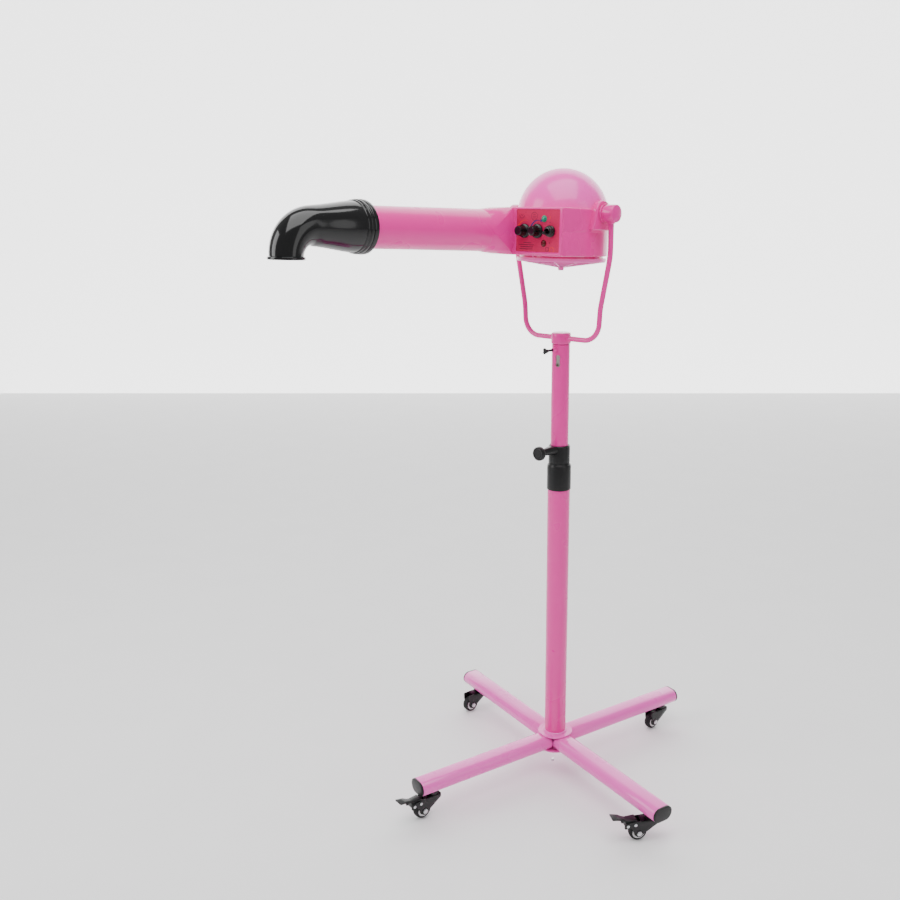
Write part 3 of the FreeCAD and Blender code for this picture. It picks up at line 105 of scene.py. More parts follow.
def studio_paper():
    """Matt white paper with the faintest mottling."""
    material, surface = shader("studio_paper", (0.9, 0.9, 0.9), 0.9)
    nodes, links = material.node_tree.nodes, material.node_tree.links
    place = nodes.new("ShaderNodeTexCoord")
    fibre = add_node(nodes, "TexNoise", Scale=6)
    tone = nodes.new("ShaderNodeValToRGB")
    tone.color_ramp.elements[0].color = (0.88, 0.88, 0.885, 1)
    tone.color_ramp.elements[1].color = (0.92, 0.92, 0.92, 1)
    links.new(place.outputs["Object"], fibre.inputs["Vector"])
    links.new(fibre.outputs["Fac"], tone.inputs["Fac"])
    links.new(tone.outputs["Color"], surface.inputs["Base Color"])
    return material


deselect()
bpy.ops.mesh.primitive_plane_add(size=12, location=(0, 0, -0.0005))
floor = fresh("floor")
floor.data.materials.append(studio_paper())

world = bpy.data.worlds.new("studio")
bpy.context.scene.world = world
world.use_nodes = True
world.node_tree.nodes["Background"].inputs["Color"].default_value = (1, 1, 1, 1)
world.node_tree.nodes["Background"].inputs["Strength"].default_value = 0.45


# A lit white backdrop stands well behind the object, square to the camera.
CAMERA_TURN = math.radians(41.6)
deselect()
bpy.ops.mesh.primitive_plane_add(size=14, location=(-3.2, 3.6, 2), rotation=(math.pi / 2, 0, CAMERA_TURN))
backdrop = fresh("backdrop")
glow, surface = shader("lit_backdrop", (0.9, 0.9, 0.9), 0.9)
surface.inputs["Emission Color"].default_value = (1, 1, 1, 1)
surface.inputs["Emission Strength"].default_value = 2.6
backdrop.data.materials.append(glow)


def soft_lamp(name, place, target, width, height, watts):
    """A soft box: a rectangular lamp aimed at a point on the stand."""
    lamp = bpy.data.objects.new(name, bpy.data.lights.new(name, "AREA"))
    bpy.context.scene.collection.objects.link(lamp)
    lamp.data.shape = "RECTANGLE"
    lamp.data.size = width
    lamp.data.size_y = height
    lamp.data.energy = watts
    lamp.location = place
    lamp.rotation_euler = (Vector(target) - Vector(place)).to_track_quat("-Z", "Y").to_euler()
    return lamp


soft_lamp("lamp_over", (0.5, -0.6, 3.2), (0, -0.2, 0.9), 2.2, 2.2, 66)
soft_lamp("lamp_left", (-1.6, -2.6, 2.0), (0, -0.2, 0.9), 1.4, 2.2, 46)
soft_lamp("lamp_right", (2.8, 0.2, 1.8), (0, 0, 0.9), 1.2, 2.2, 12)

# ---- legs -----------------------------------------------------------------------------------
# Four flat-oval steel tubes set in a cross, cut square and butted under the flange. They are
# sprayed in a light pink gloss paint that pools a little at the cut ends.

SMOOTH = math.radians(35)


def sprayed_skin():
    """Group: slow tone change, uneven gloss and the fine orange peel of sprayed paint."""
    group = bpy.data.node_groups.new("sprayed_skin", "ShaderNodeTree")
    for name, kind in (("Colour", "NodeSocketColor"), ("Depth", "NodeSocketFloat"),
                       ("Peel", "NodeSocketFloat")):
        group.interface.new_socket(name, in_out="INPUT", socket_type=kind)
    for name, kind in (("Colour", "NodeSocketColor"), ("Roughness", "NodeSocketFloat"),
                       ("Height", "NodeSocketFloat")):
        group.interface.new_socket(name, in_out="OUTPUT", socket_type=kind)
    nodes, links = group.nodes, group.links
    start, end = nodes.new("NodeGroupInput"), nodes.new("NodeGroupOutput")
    place = nodes.new("ShaderNodeTexCoord")
    cloud = add_node(nodes, "TexNoise", Scale=9, Detail=3)
    peel = add_node(nodes, "TexNoise", Scale=520, Detail=1)
    fade = nodes.new("ShaderNodeMath")
    fade.operation = "MULTIPLY"
    shade = nodes.new("ShaderNodeMath")
    shade.operation = "SUBTRACT"
    shade.inputs[0].default_value = 1
    tint = nodes.new("ShaderNodeHueSaturation")
    gloss = add_node(nodes, "MapRange", To_Min=0.2, To_Max=0.36)
    lift = nodes.new("ShaderNodeMath")
    lift.operation = "MULTIPLY"
    for node in (cloud, peel):
        links.new(place.outputs["Object"], node.inputs["Vector"])
    links.new(cloud.outputs["Fac"], fade.inputs[0])
    links.new(start.outputs["Depth"], fade.inputs[1])
    links.new(fade.outputs[0], shade.inputs[1])
    links.new(shade.outputs[0], tint.inputs["Value"])
    links.new(start.outputs["Colour"], tint.inputs["Color"])
    links.new(tint.outputs["Color"], end.inputs["Colour"])
    links.new(cloud.outputs["Fac"], gloss.inputs["Value"])
    links.new(gloss.outputs["Result"], end.inputs["Roughness"])
    links.new(peel.outputs["Fac"], lift.inputs[0])
    links.new(start.outputs["Peel"], lift.inputs[1])
    links.new(lift.outputs[0], end.inputs["Height"])
    return group


sprayed = sprayed_skin()


def coated(name, colour, depth=0.1, peel=0.5, coat=0.5, bump=0.02):
    """Glossy sprayed paint or moulded gloss plastic of one colour."""
    material, surface = shader(name, colour, 0.28, 0, coat, 0.08)
    nodes, links = material.node_tree.nodes, material.node_tree.links
    skin = nodes.new("ShaderNodeGroup")
    skin.node_tree = sprayed
    skin.inputs["Colour"].default_value = (*colour, 1)
    skin.inputs["Depth"].default_value = depth
    skin.inputs["Peel"].default_value = peel
    relief = add_node(nodes, "Bump", Strength=bump, Distance=0.001)
    links.new(skin.outputs["Colour"], surface.inputs["Base Color"])
    links.new(skin.outputs["Roughness"], surface.inputs["Roughness"])
    links.new(skin.outputs["Height"], relief.inputs["Height"])
    links.new(relief.outputs["Normal"], surface.inputs["Normal"])
    return material


light_pink = coated("light_pink_paint", (0.93, 0.11, 0.55))


def settle(obj):
    """Moves a piece's place, turn and scale into its mesh."""
    pick(obj)
    bpy.ops.object.transform_apply(location=True, rotation=True, scale=True)
    return obj


def finish(obj, body, slot, materials, *nodes):
    """Applies the place, rounds the shading, and hands the piece to its body."""
    settle(obj)
    bpy.ops.object.shade_smooth_by_angle(angle=SMOOTH)
    if not isinstance(materials, (list, tuple)):
        materials = [materials]
    for i, material in enumerate(materials):
        if i < len(obj.data.materials):
            obj.data.materials[i] = material
        else:
            obj.data.materials.append(material)
    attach(obj, body)
    if nodes:
        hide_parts(*nodes)
    return obj


def apply(obj, kind, **values):
    """Adds one modifier with its values and applies it at once."""
    pick(obj)
    modifier = obj.modifiers.new(kind.lower(), kind)
    for key, value in values.items():
        setattr(modifier, key, value)
    bpy.ops.object.modifier_apply(modifier=modifier.name)
    return obj


def round_edges(obj, width, segments=2, angle=30):
    """Small radius on every edge sharper than the angle."""
    return apply(
        obj, "BEVEL", width=width * MM, segments=segments, limit_method="ANGLE",
        angle_limit=math.radians(angle),
        use_clamp_overlap=True, harden_normals=False,
    )


def edit(obj, mode="VERT"):
    pick(obj)
    bpy.ops.object.mode_set(mode="EDIT")
    bpy.ops.mesh.select_mode(type=mode)


def select_where(obj, test, kind="vertices"):
    """Selects, by place, the points, edges or faces that pass a test, and nothing else."""
    bpy.ops.mesh.select_all(action="DESELECT")
    bpy.ops.object.mode_set(mode="OBJECT")
    mesh = obj.data
    for item in getattr(mesh, kind):
        if kind == "vertices":
            spot = item.co
        elif kind == "edges":
            spot = (mesh.vertices[item.vertices[0]].co + mesh.vertices[item.vertices[1]].co) / 2
        else:
            spot = item.center
        item.select = bool(test(spot))
    bpy.ops.object.mode_set(mode="EDIT")


def take_all():
    bpy.ops.mesh.select_all(action="SELECT")


def face_out():
    """Turns every face of the edited mesh outward."""
    take_all()
    bpy.ops.mesh.normals_make_consistent(inside=False)


def oval_ring(name, width, height, start, points=32):
    """Flat-oval outline, wide along Y, standing across +X."""
    deselect()
    bpy.ops.mesh.primitive_circle_add(vertices=points, radius=height / 2 * MM, rotation=(0, math.pi / 2, 0))
    obj = fresh(name)
    pick(obj)
    bpy.ops.object.transform_apply(location=False, rotation=True, scale=False)
    for side in (1, -1):
        edit(obj)
        select_where(obj, lambda spot: spot.y * side > 1e-5)
        bpy.ops.transform.translate(value=(0, side * (width - height) / 2 * MM, 0))
    take_all()
    bpy.ops.transform.translate(value=(start * MM, 0, 0))
    return obj


LEG_BEARINGS = {"front": -104, "right": -14, "back": 76, "left": 166}
LEG_LEVEL = 75


def at_leg(obj, side):
    """Turns a piece made along +X to its leg's bearing, at the legs' mid-height."""
    obj.matrix_world = Matrix.Translation((0, 0, LEG_LEVEL * MM)) @ Matrix.Rotation(
        math.radians(LEG_BEARINGS[side]), 4, "Z"
    )
    return obj


for side in LEG_BEARINGS:
    tube = oval_ring("leg_tube_" + side, 50, 34, 25.2, 40)
    for step in (100, 130, 119.8):
        bpy.ops.mesh.extrude_edges_move(TRANSFORM_OT_translate={"value": (step * MM, 0, 0)})
    deselect()
    apply(tube, "SOLIDIFY", thickness=1.5 * MM, offset=-1)
    round_edges(tube, 0.5, 2, 50)
    finish(at_leg(tube, side), "stand_base", "light_pink_paint", light_pink, "leg_" + side)


# ---- leg caps -------------------------------------------------------------------------------
# Black plastic end plugs, pushed into the open tube ends: a plug inside, a lip over the cut
# edge, and a slightly dished outer face with rounded rims.


def moulded(name, colour, roughness=0.35, coat=0.0, grain=160, depth=0.05, speck=0.02):
    """Moulded plastic or rubber: fine moulded grain, with gloss that varies a little."""
    material, surface = shader(name, colour, roughness, 0, coat)
    nodes, links = material.node_tree.nodes, material.node_tree.links
    place = nodes.new("ShaderNodeTexCoord")
    noise = add_node(nodes, "TexNoise", Scale=grain, Detail=4)
    tone = nodes.new("ShaderNodeValToRGB")
    tone.color_ramp.elements[0].color = (*colour, 1)
    tone.color_ramp.elements[1].color = (*(min(1, c * 1.3 + speck) for c in colour), 1)
    gloss = add_node(nodes, "MapRange", To_Min=roughness * 0.8, To_Max=min(1, roughness * 1.25))
    relief = add_node(nodes, "Bump", Strength=depth, Distance=0.0005)
    links.new(place.outputs["Object"], noise.inputs["Vector"])
    links.new(noise.outputs["Fac"], tone.inputs["Fac"])
    links.new(tone.outputs["Color"], surface.inputs["Base Color"])
    links.new(noise.outputs["Fac"], gloss.inputs["Value"])
    links.new(gloss.outputs["Result"], surface.inputs["Roughness"])
    links.new(noise.outputs["Fac"], relief.inputs["Height"])
    links.new(relief.outputs["Normal"], surface.inputs["Normal"])
    return material


satin_black = moulded("satin_black", (0.004, 0.004, 0.0045), 0.38, 0.05, 160, 0.05, 0.004)

for side in LEG_BEARINGS:
    cap = oval_ring("leg_plug_" + side, 46.4, 30.4, 362, 40)
    bpy.ops.mesh.edge_face_add()
    bpy.ops.mesh.extrude_region_move(TRANSFORM_OT_translate={"value": (12.9 * MM, 0, 0)})
    bpy.ops.mesh.extrude_region_move(TRANSFORM_OT_translate={"value": (0, 0, 0)})
    bpy.ops.transform.resize(value=(1, 49.6 / 46.4, 33.6 / 30.4), center_override=(374.9 * MM, 0, 0))
    bpy.ops.mesh.extrude_region_move(TRANSFORM_OT_translate={"value": (4.1 * MM, 0, 0)})
    bpy.ops.mesh.inset(thickness=4.5 * MM, depth=-0.8 * MM)
    face_out()
    deselect()
    round_edges(cap, 1.1, 3, 40)
    finish(at_leg(cap, side), "stand_base", "satin_black", satin_black, "leg_cap_" + side)

# ---- flange ---------------------------------------------------------------------------------
# A round steel plate on top of the cross, with the mast's lower tube welded to it all round, and
# a matching plate below. Four bolts through the legs clamp the two; both plates are painted.


def turned(name, profile, steps=64):
    """Lathe work: an outline of (radius, height) drawn point by point, then spun about Z."""
    deselect()
    bpy.ops.mesh.primitive_plane_add(size=MM)
    obj = fresh(name)
    edit(obj)
    take_all()
    bpy.ops.mesh.merge(type="CENTER")
    at = Vector((0, 0, 0))
    for i, (radius, height) in enumerate(profile):
        to = Vector((radius * MM, 0, height * MM))
        if i == 0:
            bpy.ops.transform.translate(value=to)
        else:
            bpy.ops.mesh.extrude_vertices_move(TRANSFORM_OT_translate={"value": to - at})
        at = to
    take_all()
    bpy.ops.mesh.spin(steps=steps, angle=2 * math.pi, center=(0, 0, 0), axis=(0, 0, 1))
    take_all()
    bpy.ops.mesh.remove_doubles(threshold=1e-6)
    bpy.ops.mesh.normals_make_consistent(inside=False)
    deselect()
    return obj


def joined(name, *pieces):
    """Several worked pieces as one."""
    deselect()
    for piece in pieces:
        piece.select_set(True)
    bpy.context.view_layer.objects.active = pieces[0]
    bpy.ops.object.join()
    return fresh(name)


def metal(name, colour, roughness=0.35, scale=70, stretch=(1, 1, 1)):
    """Bare or plated metal with faint drawing marks."""
    material, surface = shader(name, colour, roughness, 1)
    nodes, links = material.node_tree.nodes, material.node_tree.links
    place = nodes.new("ShaderNodeTexCoord")
    run = add_node(nodes, "Mapping", Scale=stretch)
    marks = add_node(nodes, "TexNoise", Scale=scale)
    gloss = add_node(nodes, "MapRange", To_Min=roughness * 0.6, To_Max=roughness * 1.5)
    tone = nodes.new("ShaderNodeValToRGB")
    tone.color_ramp.elements[0].color = (*(c * 0.8 for c in colour), 1)
    tone.color_ramp.elements[1].color = (*colour, 1)
    links.new(place.outputs["Object"], run.inputs["Vector"])
    links.new(run.outputs["Vector"], marks.inputs["Vector"])
    links.new(marks.outputs["Fac"], gloss.inputs["Value"])
    links.new(gloss.outputs["Result"], surface.inputs["Roughness"])
    links.new(marks.outputs["Fac"], tone.inputs["Fac"])
    links.new(tone.outputs["Color"], surface.inputs["Base Color"])
    return material


def recoat(material, *nodes):
    """Gives CAD nodes whose shape is right their real finish."""
    for node in nodes:
        obj = frame["nodes"][node]
        obj.data.materials.clear()
        obj.data.materials.append(material)


zinc = metal("zinc_plate", (0.72, 0.73, 0.75), 0.32)
flange = turned("top_flange", [(0, 92), (39.7, 92), (40.5, 92.8), (40.5, 94.3), (39.8, 95), (0, 95)], 96)
bead = turned(
    "foot_weld", [(24.8, 94.6), (28.6, 94.8), (28.2, 96.3), (26.8, 97.9), (25.4, 99.0), (24.8, 99.2),
                  (24.8, 94.6)], 96
)
finish(joined("base_flange", flange, bead), "stand_base", "light_pink_paint", light_pink, "base_top_flange")
recoat(light_pink, "base_bottom_plate")
recoat(zinc, "base_bolts")

# ---- castors --------------------------------------------------------------------------------
# Black pressed-steel forks, each hung on a riveted stem under a leg. The wheel has a ribbed black
# tread and a pale nylon hub ring; the axle's bright nuts and the brake's rivets show outside.

black_metal = coated("black_lacquer", (0.004, 0.004, 0.0045), 0.1, 0.6, 0.2, 0.03)
rubber = moulded("tread_rubber", (0.007, 0.007, 0.0075), 0.62, 0, 240, 0.1, 0.006)
nylon = moulded("white_nylon", (0.62, 0.60, 0.62), 0.4, 0, 90, 0.02)
joints = {joint["name"]: joint for joint in frame["joints"]}
recoat(black_metal, "castor_stems")


def castor_place(side):
    """A castor's own frame, from its two joints: swivel on Z, trailing along +X."""
    foot = Vector(joints["castor_swivel_" + side]["pos_m"])
    across = joints["wheel_spin_" + side]["axis"]
    heading = math.atan2(across[1], across[0]) - math.pi / 2
    return Matrix.Translation((foot.x, foot.y, 0)) @ Matrix.Rotation(heading, 4, "Z")


def plate(name, corners, thickness, corner_radius=0.0, segments=4):
    """Flat plate cut to an outline of (x, z) corners, extruded along +Y."""
    deselect()
    bpy.ops.mesh.primitive_plane_add(size=MM)
    obj = fresh(name)
    edit(obj)
    take_all()
    bpy.ops.mesh.merge(type="CENTER")
    at = Vector((0, 0, 0))
    for i, (x, z) in enumerate(corners):
        to = Vector((x * MM, 0, z * MM))
        if i == 0:
            bpy.ops.transform.translate(value=to)
        else:
            bpy.ops.mesh.extrude_vertices_move(TRANSFORM_OT_translate={"value": to - at})
        at = to
    take_all()
    bpy.ops.mesh.edge_face_add()
    if corner_radius:
        bpy.ops.mesh.bevel(offset=corner_radius * MM, affect="VERTICES", segments=segments)
    take_all()
    bpy.ops.mesh.extrude_region_move(TRANSFORM_OT_translate={"value": (0, thickness * MM, 0)})
    face_out()
    deselect()
    return obj


def shift(obj, x=0.0, y=0.0, z=0.0):
    obj.location = (x * MM, y * MM, z * MM)
    settle(obj)
    return obj


def lay_along(obj, x=0.0, y=0.0, z=0.0, axis="-Y"):
    """Turns a lathe piece from Z to another axis, then moves it, in millimetres."""
    turn = {"-Y": ("X", 90), "Y": ("X", -90), "X": ("Y", 90), "-X": ("Y", -90)}[axis]
    obj.matrix_world = Matrix.Translation((x * MM, y * MM, z * MM)) @ Matrix.Rotation(math.radians(turn[1]),
                                                                                      4, turn[0])
    settle(obj)
    return obj


TRAIL = 29
AXLE_LEVEL = 20
FORK_HALF = 12.5
FRONT_EDGE = [(-15, 49), (-15, 40), (20, 17.5)]
PIN = (55, 41)
for side in LEG_BEARINGS:
    braked = side in ("front", "right")
    arc = [(TRAIL + 8.8 * math.cos(math.radians(a)), AXLE_LEVEL - 1 + 8.5 * math.sin(math.radians(a)))
           for a in range(200, 345, 24)]
    if braked:
        back = [(47, 35), (62.5, 35), (62.5, 46), (46.5, 49)]
    else:
        back = [(41, 35), (41, 49)]
    cheeks = []
    for place in (-FORK_HALF, FORK_HALF - 2.5):
        cheek = plate(f"cheek_{side}_{place}", FRONT_EDGE[:2] + arc + back, 2.5, 1.8, 3)
        cheeks.append(shift(cheek, y=place))
    roof = plate("roof_" + side, [(-15, 46), (25, 46), (25, 49), (-15, 49)], 2 * FORK_HALF)
    cheeks.append(shift(roof, y=-FORK_HALF))
    race = turned("race_" + side, [(5.2, 48.8), (14.2, 48.8), (14.4, 48.9), (13.2, 49.2), (5.2, 49.25),
                                   (5.2, 48.8)], 40)
    cheeks.append(race)
    fork = joined("fork_" + side, *cheeks)
    round_edges(fork, 0.5, 2, 40)
    fork.matrix_world = castor_place(side)
    finish(fork, "castor_" + side, "black_metal", black_metal, "castor_fork_" + side)

    half = [(3.1, 9), (7.2, 9), (7.6, 7.2), (10.2, 6.9), (10.6, 8.0), (14.2, 8.2), (14.7, 7.6), (17.0, 7.9),
            (18.8, 6.9),
            (19.6, 5.2)]
    wheel = turned("wheel_" + side, half + [(20, 1.6), (20, -1.6)] + [(r, -z) for r,
                                                                      z in half[::-1]] + half[:1], 60)
    edit(wheel, "FACE")
    select_where(
        wheel,
        lambda spot: math.hypot(spot.x, spot.y) > 18.9 * MM
        and int(math.degrees(math.atan2(spot.y, spot.x)) // 6) % 2 == 0,
        "polygons",
    )
    bpy.ops.mesh.inset(thickness=0.25 * MM, depth=-0.45 * MM)
    bpy.ops.object.mode_set(mode="OBJECT")
    lay_along(wheel, x=TRAIL, z=AXLE_LEVEL)
    axle_point = Vector((TRAIL * MM, 0, AXLE_LEVEL * MM))
    for face in wheel.data.polygons:
        reach = (face.center - axle_point).xz.length / MM
        face.material_index = 0 if reach > 14.3 or reach < 10.4 else 1
    wheel.matrix_world = castor_place(side)
    finish(wheel, "wheel_" + side, "castor_rubber", [rubber, nylon], "castor_wheel_" + side)

    bits = [lay_along(turned("axle_bar", [(0, -12.6), (2.9, -12.6), (2.9, 12.6), (0, 12.6)], 24), TRAIL, 0,
                      AXLE_LEVEL)]
    for axis in ("-Y", "Y"):
        nut = turned("nut", [(0, 12.5), (5.4, 12.5), (5.9, 12.9), (5.9, 15.2), (5.2, 15.9), (0, 15.9)], 6)
        bits.append(lay_along(nut, TRAIL, 0, AXLE_LEVEL, axis))
        end = turned("bolt_end", [(0, 15), (3, 15), (3, 16.1), (2.2, 16.5), (0, 16.5)], 24)
        bits.append(lay_along(end, TRAIL, 0, AXLE_LEVEL, axis))
        if braked:
            for spot in (PIN, (PIN[0] - 17, PIN[1] + 0.5)):
                rivet = turned("rivet", [(0, 12.3), (3.4, 12.3), (3.3, 13.2), (2.4, 13.8), (1.2, 14.0),
                                         (0, 14.0)], 24)
                bits.append(lay_along(rivet, spot[0], 0, spot[1], axis))
    if braked:
        bits.append(lay_along(turned("pin", [(0, -12.4), (1.95, -12.4), (1.95, 12.4), (0, 12.4)], 20),
                              PIN[0], 0, PIN[1]))
    axle = joined("axle_" + side, *bits)
    axle.matrix_world = castor_place(side)
    finish(axle, "castor_" + side, "zinc", zinc, "castor_axle_" + side)

# The brake is a pressed bar on a block between the fork's cheeks. It narrows to a neck past the
# fork and flares to a ribbed tread that is pushed down with a toe.

for side in ("front", "right"):
    bar = plate(
        "tread_bar",
        [(35, 49.9), (58, 49.9), (66, 52.6), (74, 56.8), (90, 59.8), (90, 63.3), (73, 60.3), (64, 56.6),
         (57, 53.3),
         (35, 53.3)],
        22,
    )
    shift(bar, y=-11)
    for spot, share in ((58, 0.78), (66, 0.52), (64, 0.55), (57, 0.8), (74, 0.86), (73, 0.86)):
        edit(bar)
        select_where(bar, lambda point: abs(point.x - spot * MM) < 0.4 * MM)
        bpy.ops.transform.resize(value=(1, share, 1), center_override=(spot * MM, 0, 55 * MM))
    deselect()
    ribs = []
    for step in range(4):
        x = 77.5 + 3.2 * step
        rib = plate("tread_rib", [(x, 59.5 + 0.19 * (x - 74)), (x + 1.4, 59.7 + 0.19 * (x - 74)),
                                  (x + 1.2, 61.5 + 0.19 * (x - 74)), (x + 0.2, 61.3 + 0.19 * (x - 74))], 17)
        ribs.append(shift(rib, y=-8.5))
    block = plate("hanger", [(49, 37), (60, 37), (60, 50.4), (49, 50.4)], 19, 1.2)
    pedal = joined("pedal_bar_" + side, bar, shift(block, y=-9.5), *ribs)
    round_edges(pedal, 0.6, 2, 35)
    pedal.matrix_world = castor_place(side)
    finish(pedal, "pedal_" + side, "satin_black", satin_black, "brake_pedal_" + side)

# ---- lower mast -----------------------------------------------------------------------------
# A 50 mm steel tube in a deeper pink paint. A black plastic sleeve caps its top; a nylon bush
# inside guides the upper tube, and the clamp ring above carries the height knob's boss.

pink_paint = coated("pink_paint", (0.84, 0.018, 0.33))
collar_black = moulded("clamp_black", (0.004, 0.004, 0.0045), 0.36, 0.05, 120, 0.03, 0.004)
lower = turned("mast_lower", [(23.5, 95), (25, 95), (25, 745), (23.5, 745), (23.5, 95)], 96)
finish(lower, "stand_base", "pink_paint", pink_paint, "lower_tube")
sleeve = turned(
    "mast_collar",
    [(25.05, 698), (26.1, 698), (26.5, 698.5), (26.5, 750.5), (26.1, 752.2), (24.4, 755.4), (23.7, 756.2),
     (23.4, 757),
     (20.1, 757), (19.8, 756.6), (19.8, 745.2), (25.05, 745.2), (25.05, 698)],
    96,
)
finish(sleeve, "stand_base", "satin_black", collar_black, "mast_sleeve")
ring = turned(
    "clamp_body",
    [(19.8, 757.4), (22.9, 757.4), (23.5, 758.1), (23.5, 794), (22.9, 796.2), (21.4, 797.8), (20.3, 798),
     (19.8, 797.4),
     (19.8, 757.4)],
    96,
)
KNOB_LEVEL = 790
boss = lay_along(
    turned("clamp_boss", [(0, 20.1), (11.9, 20.1), (10.4, 30), (8.6, 42), (7.4, 52), (6.9, 58.6),
                          (6.2, 59.8), (4.1, 60),
                          (4.1, 50), (0, 50)], 64),
    z=KNOB_LEVEL,
)
edit(boss)
take_all()
bpy.ops.mesh.bisect(plane_co=(0, 0, 797.8 * MM), plane_no=(0, 0, 1), use_fill=True, clear_outer=True)
deselect()
finish(joined("mast_clamp", ring, boss), "stand_base", "satin_black", collar_black, "mast_ring")
recoat(nylon, "guide_bush")

# ---- height knob ----------------------------------------------------------------------------
# A black ribbed hand knob on a screw that passes through the clamp's boss and grips the tube.

knob = turned(
    "knob_height",
    [(0, 20), (3.9, 20), (3.9, 62.4), (6.2, 62.6), (12.4, 63), (14.2, 64.2), (14.6, 65.6), (14.6, 71.2),
     (14.0, 73.0),
     (12.6, 74), (11.2, 73.6), (10.4, 72.8), (0, 72.6)],
    60,
)
edit(knob, "FACE")
select_where(
    knob,
    lambda spot: spot.z > 64 * MM and math.hypot(spot.x, spot.y) > 13.2 * MM
    and int(math.degrees(math.atan2(spot.y, spot.x)) // 6) % 2 == 0,
    "polygons",
)
bpy.ops.mesh.inset(thickness=0.25 * MM, depth=0.4 * MM)
deselect()
knob.matrix_world = Matrix.Translation((0, 0, KNOB_LEVEL * MM)) @ Matrix.Rotation(math.pi / 2, 4, "X")
finish(knob, "height_knob", "satin_black", satin_black, "height_knob")

# ---- upper mast -----------------------------------------------------------------------------
# The telescoping tube. Near its top a dumbbell window shows the steel bush that the yoke's
# spindle turns in, with the screw that holds the bush, and a boss carries the swivel's lock.


def cut_out(obj, cutter, operation="DIFFERENCE"):
    """One solid taken from, or added to, another; the tool is then thrown away."""
    apply(obj, "BOOLEAN", object=cutter, operation=operation, solver="EXACT")
    bpy.data.objects.remove(cutter)
    return obj


def bow(radius, start, end, x=0.0, z=0.0, step=15):
    """Points along an arc, in degrees, for an outline."""
    count = max(1, round(abs(end - start) / step))
    return [
        (x + radius * math.cos(math.radians(start + (end - start) * i / count)),
         z + radius * math.sin(math.radians(start + (end - start) * i / count)))
        for i in range(count + 1)
    ]


upper = turned("mast_upper", [(18, 290), (19.5, 290), (19.5, 1016.2), (18.8, 1017), (18, 1017), (18, 290)],
               96)
LOBE, RISE = 5.25, 7.75
cutter = plate("window", bow(LOBE, -35, 215, 0, RISE) + bow(LOBE, 145, 395, 0, -RISE), 20)
WINDOW_LEVEL = 983
cutter.matrix_world = (
    Matrix.Translation((0, 0, WINDOW_LEVEL * MM)) @ Matrix.Rotation(math.radians(20), 4,
                                                                    "Z") @ Matrix.Translation((0, -27 * MM,
                                                                                               0))
)
settle(cutter)
cut_out(upper, cutter)
finish(upper, "mast", "pink_paint", pink_paint, "upper_tube")
steel = metal("turned_steel", (0.46, 0.44, 0.40), 0.36, 60, (1, 1, 12))
recoat(steel, "spindle_bush")
recoat(zinc, "bush_screw")

LOCK_LEVEL = 1007
nose = lay_along(
    turned("lock_cone", [(2.6, 18.5), (6.5, 18.5), (6.3, 21), (5.4, 23.5), (4.3, 26.5), (3.9, 28.1),
                         (3.5, 28.5),
                         (2.6, 28.5), (2.6, 18.5)], 48),
    z=LOCK_LEVEL,
)
finish(nose, "mast", "pink_paint", pink_paint, "lock_boss")
stem = turned(
    "lock_stem", [(0, 10.5), (2.45, 10.5), (2.45, 44), (3.4, 44.6), (3.4, 50.2), (0, 50.2)], 24,
)
lobes = turned(
    "lock_head", [(0, 50), (3.6, 50), (6.2, 50.3), (7.0, 51.2), (7.0, 52.8), (6.2, 53.7), (3, 54), (0, 54)],
    36,
)
for i in range(3):
    edit(lobes)
    hollow = math.radians(120 * i + 60)
    select_where(
        lobes,
        lambda spot: math.hypot(spot.x, spot.y) > 4 * MM
        and math.cos(math.atan2(spot.y, spot.x) - hollow) > math.cos(math.radians(27)),
    )
    bpy.ops.transform.resize(value=(0.74, 0.74, 1), center_override=(0, 0, 52 * MM))
deselect()
apply(lobes, "SUBSURF", levels=1, render_levels=1)
lock = joined("swivel_lock", stem, lobes)
lock.matrix_world = Matrix.Translation((0, 0, LOCK_LEVEL * MM)) @ Matrix.Rotation(math.pi / 2, 4, "X")
finish(lock, "lock_screw", "satin_black", satin_black, "lock_screw")

# ---- yoke -----------------------------------------------------------------------------------
# A turned hub on a spindle, with two bent steel rods welded to its sides. Each rod rises to a
# short closed sleeve that the head's pivot bolt turns in. All of it is painted with the tubes.

hub = turned(
    "swivel_hub",
    [(0, 959), (9.9, 959), (9.9, 1017.4), (17.6, 1017.4), (19.6, 1018.2), (20.7, 1019.6), (21, 1021),
     (21, 1037.6),
     (20.6, 1039.6), (19.4, 1041), (17.8, 1041.5), (0, 1041.5)],
    96,
)
finish(hub, "yoke", "pink_paint", pink_paint, "yoke_hub")
ROD = 5.5
PIVOT = 1282.5
ROD_CORNERS = [(97, 1030, 38), (100.5, 1095, 150), (122, 1200, 150)]
ROD_ENDS = [(17, 1030), (122, 1269)]


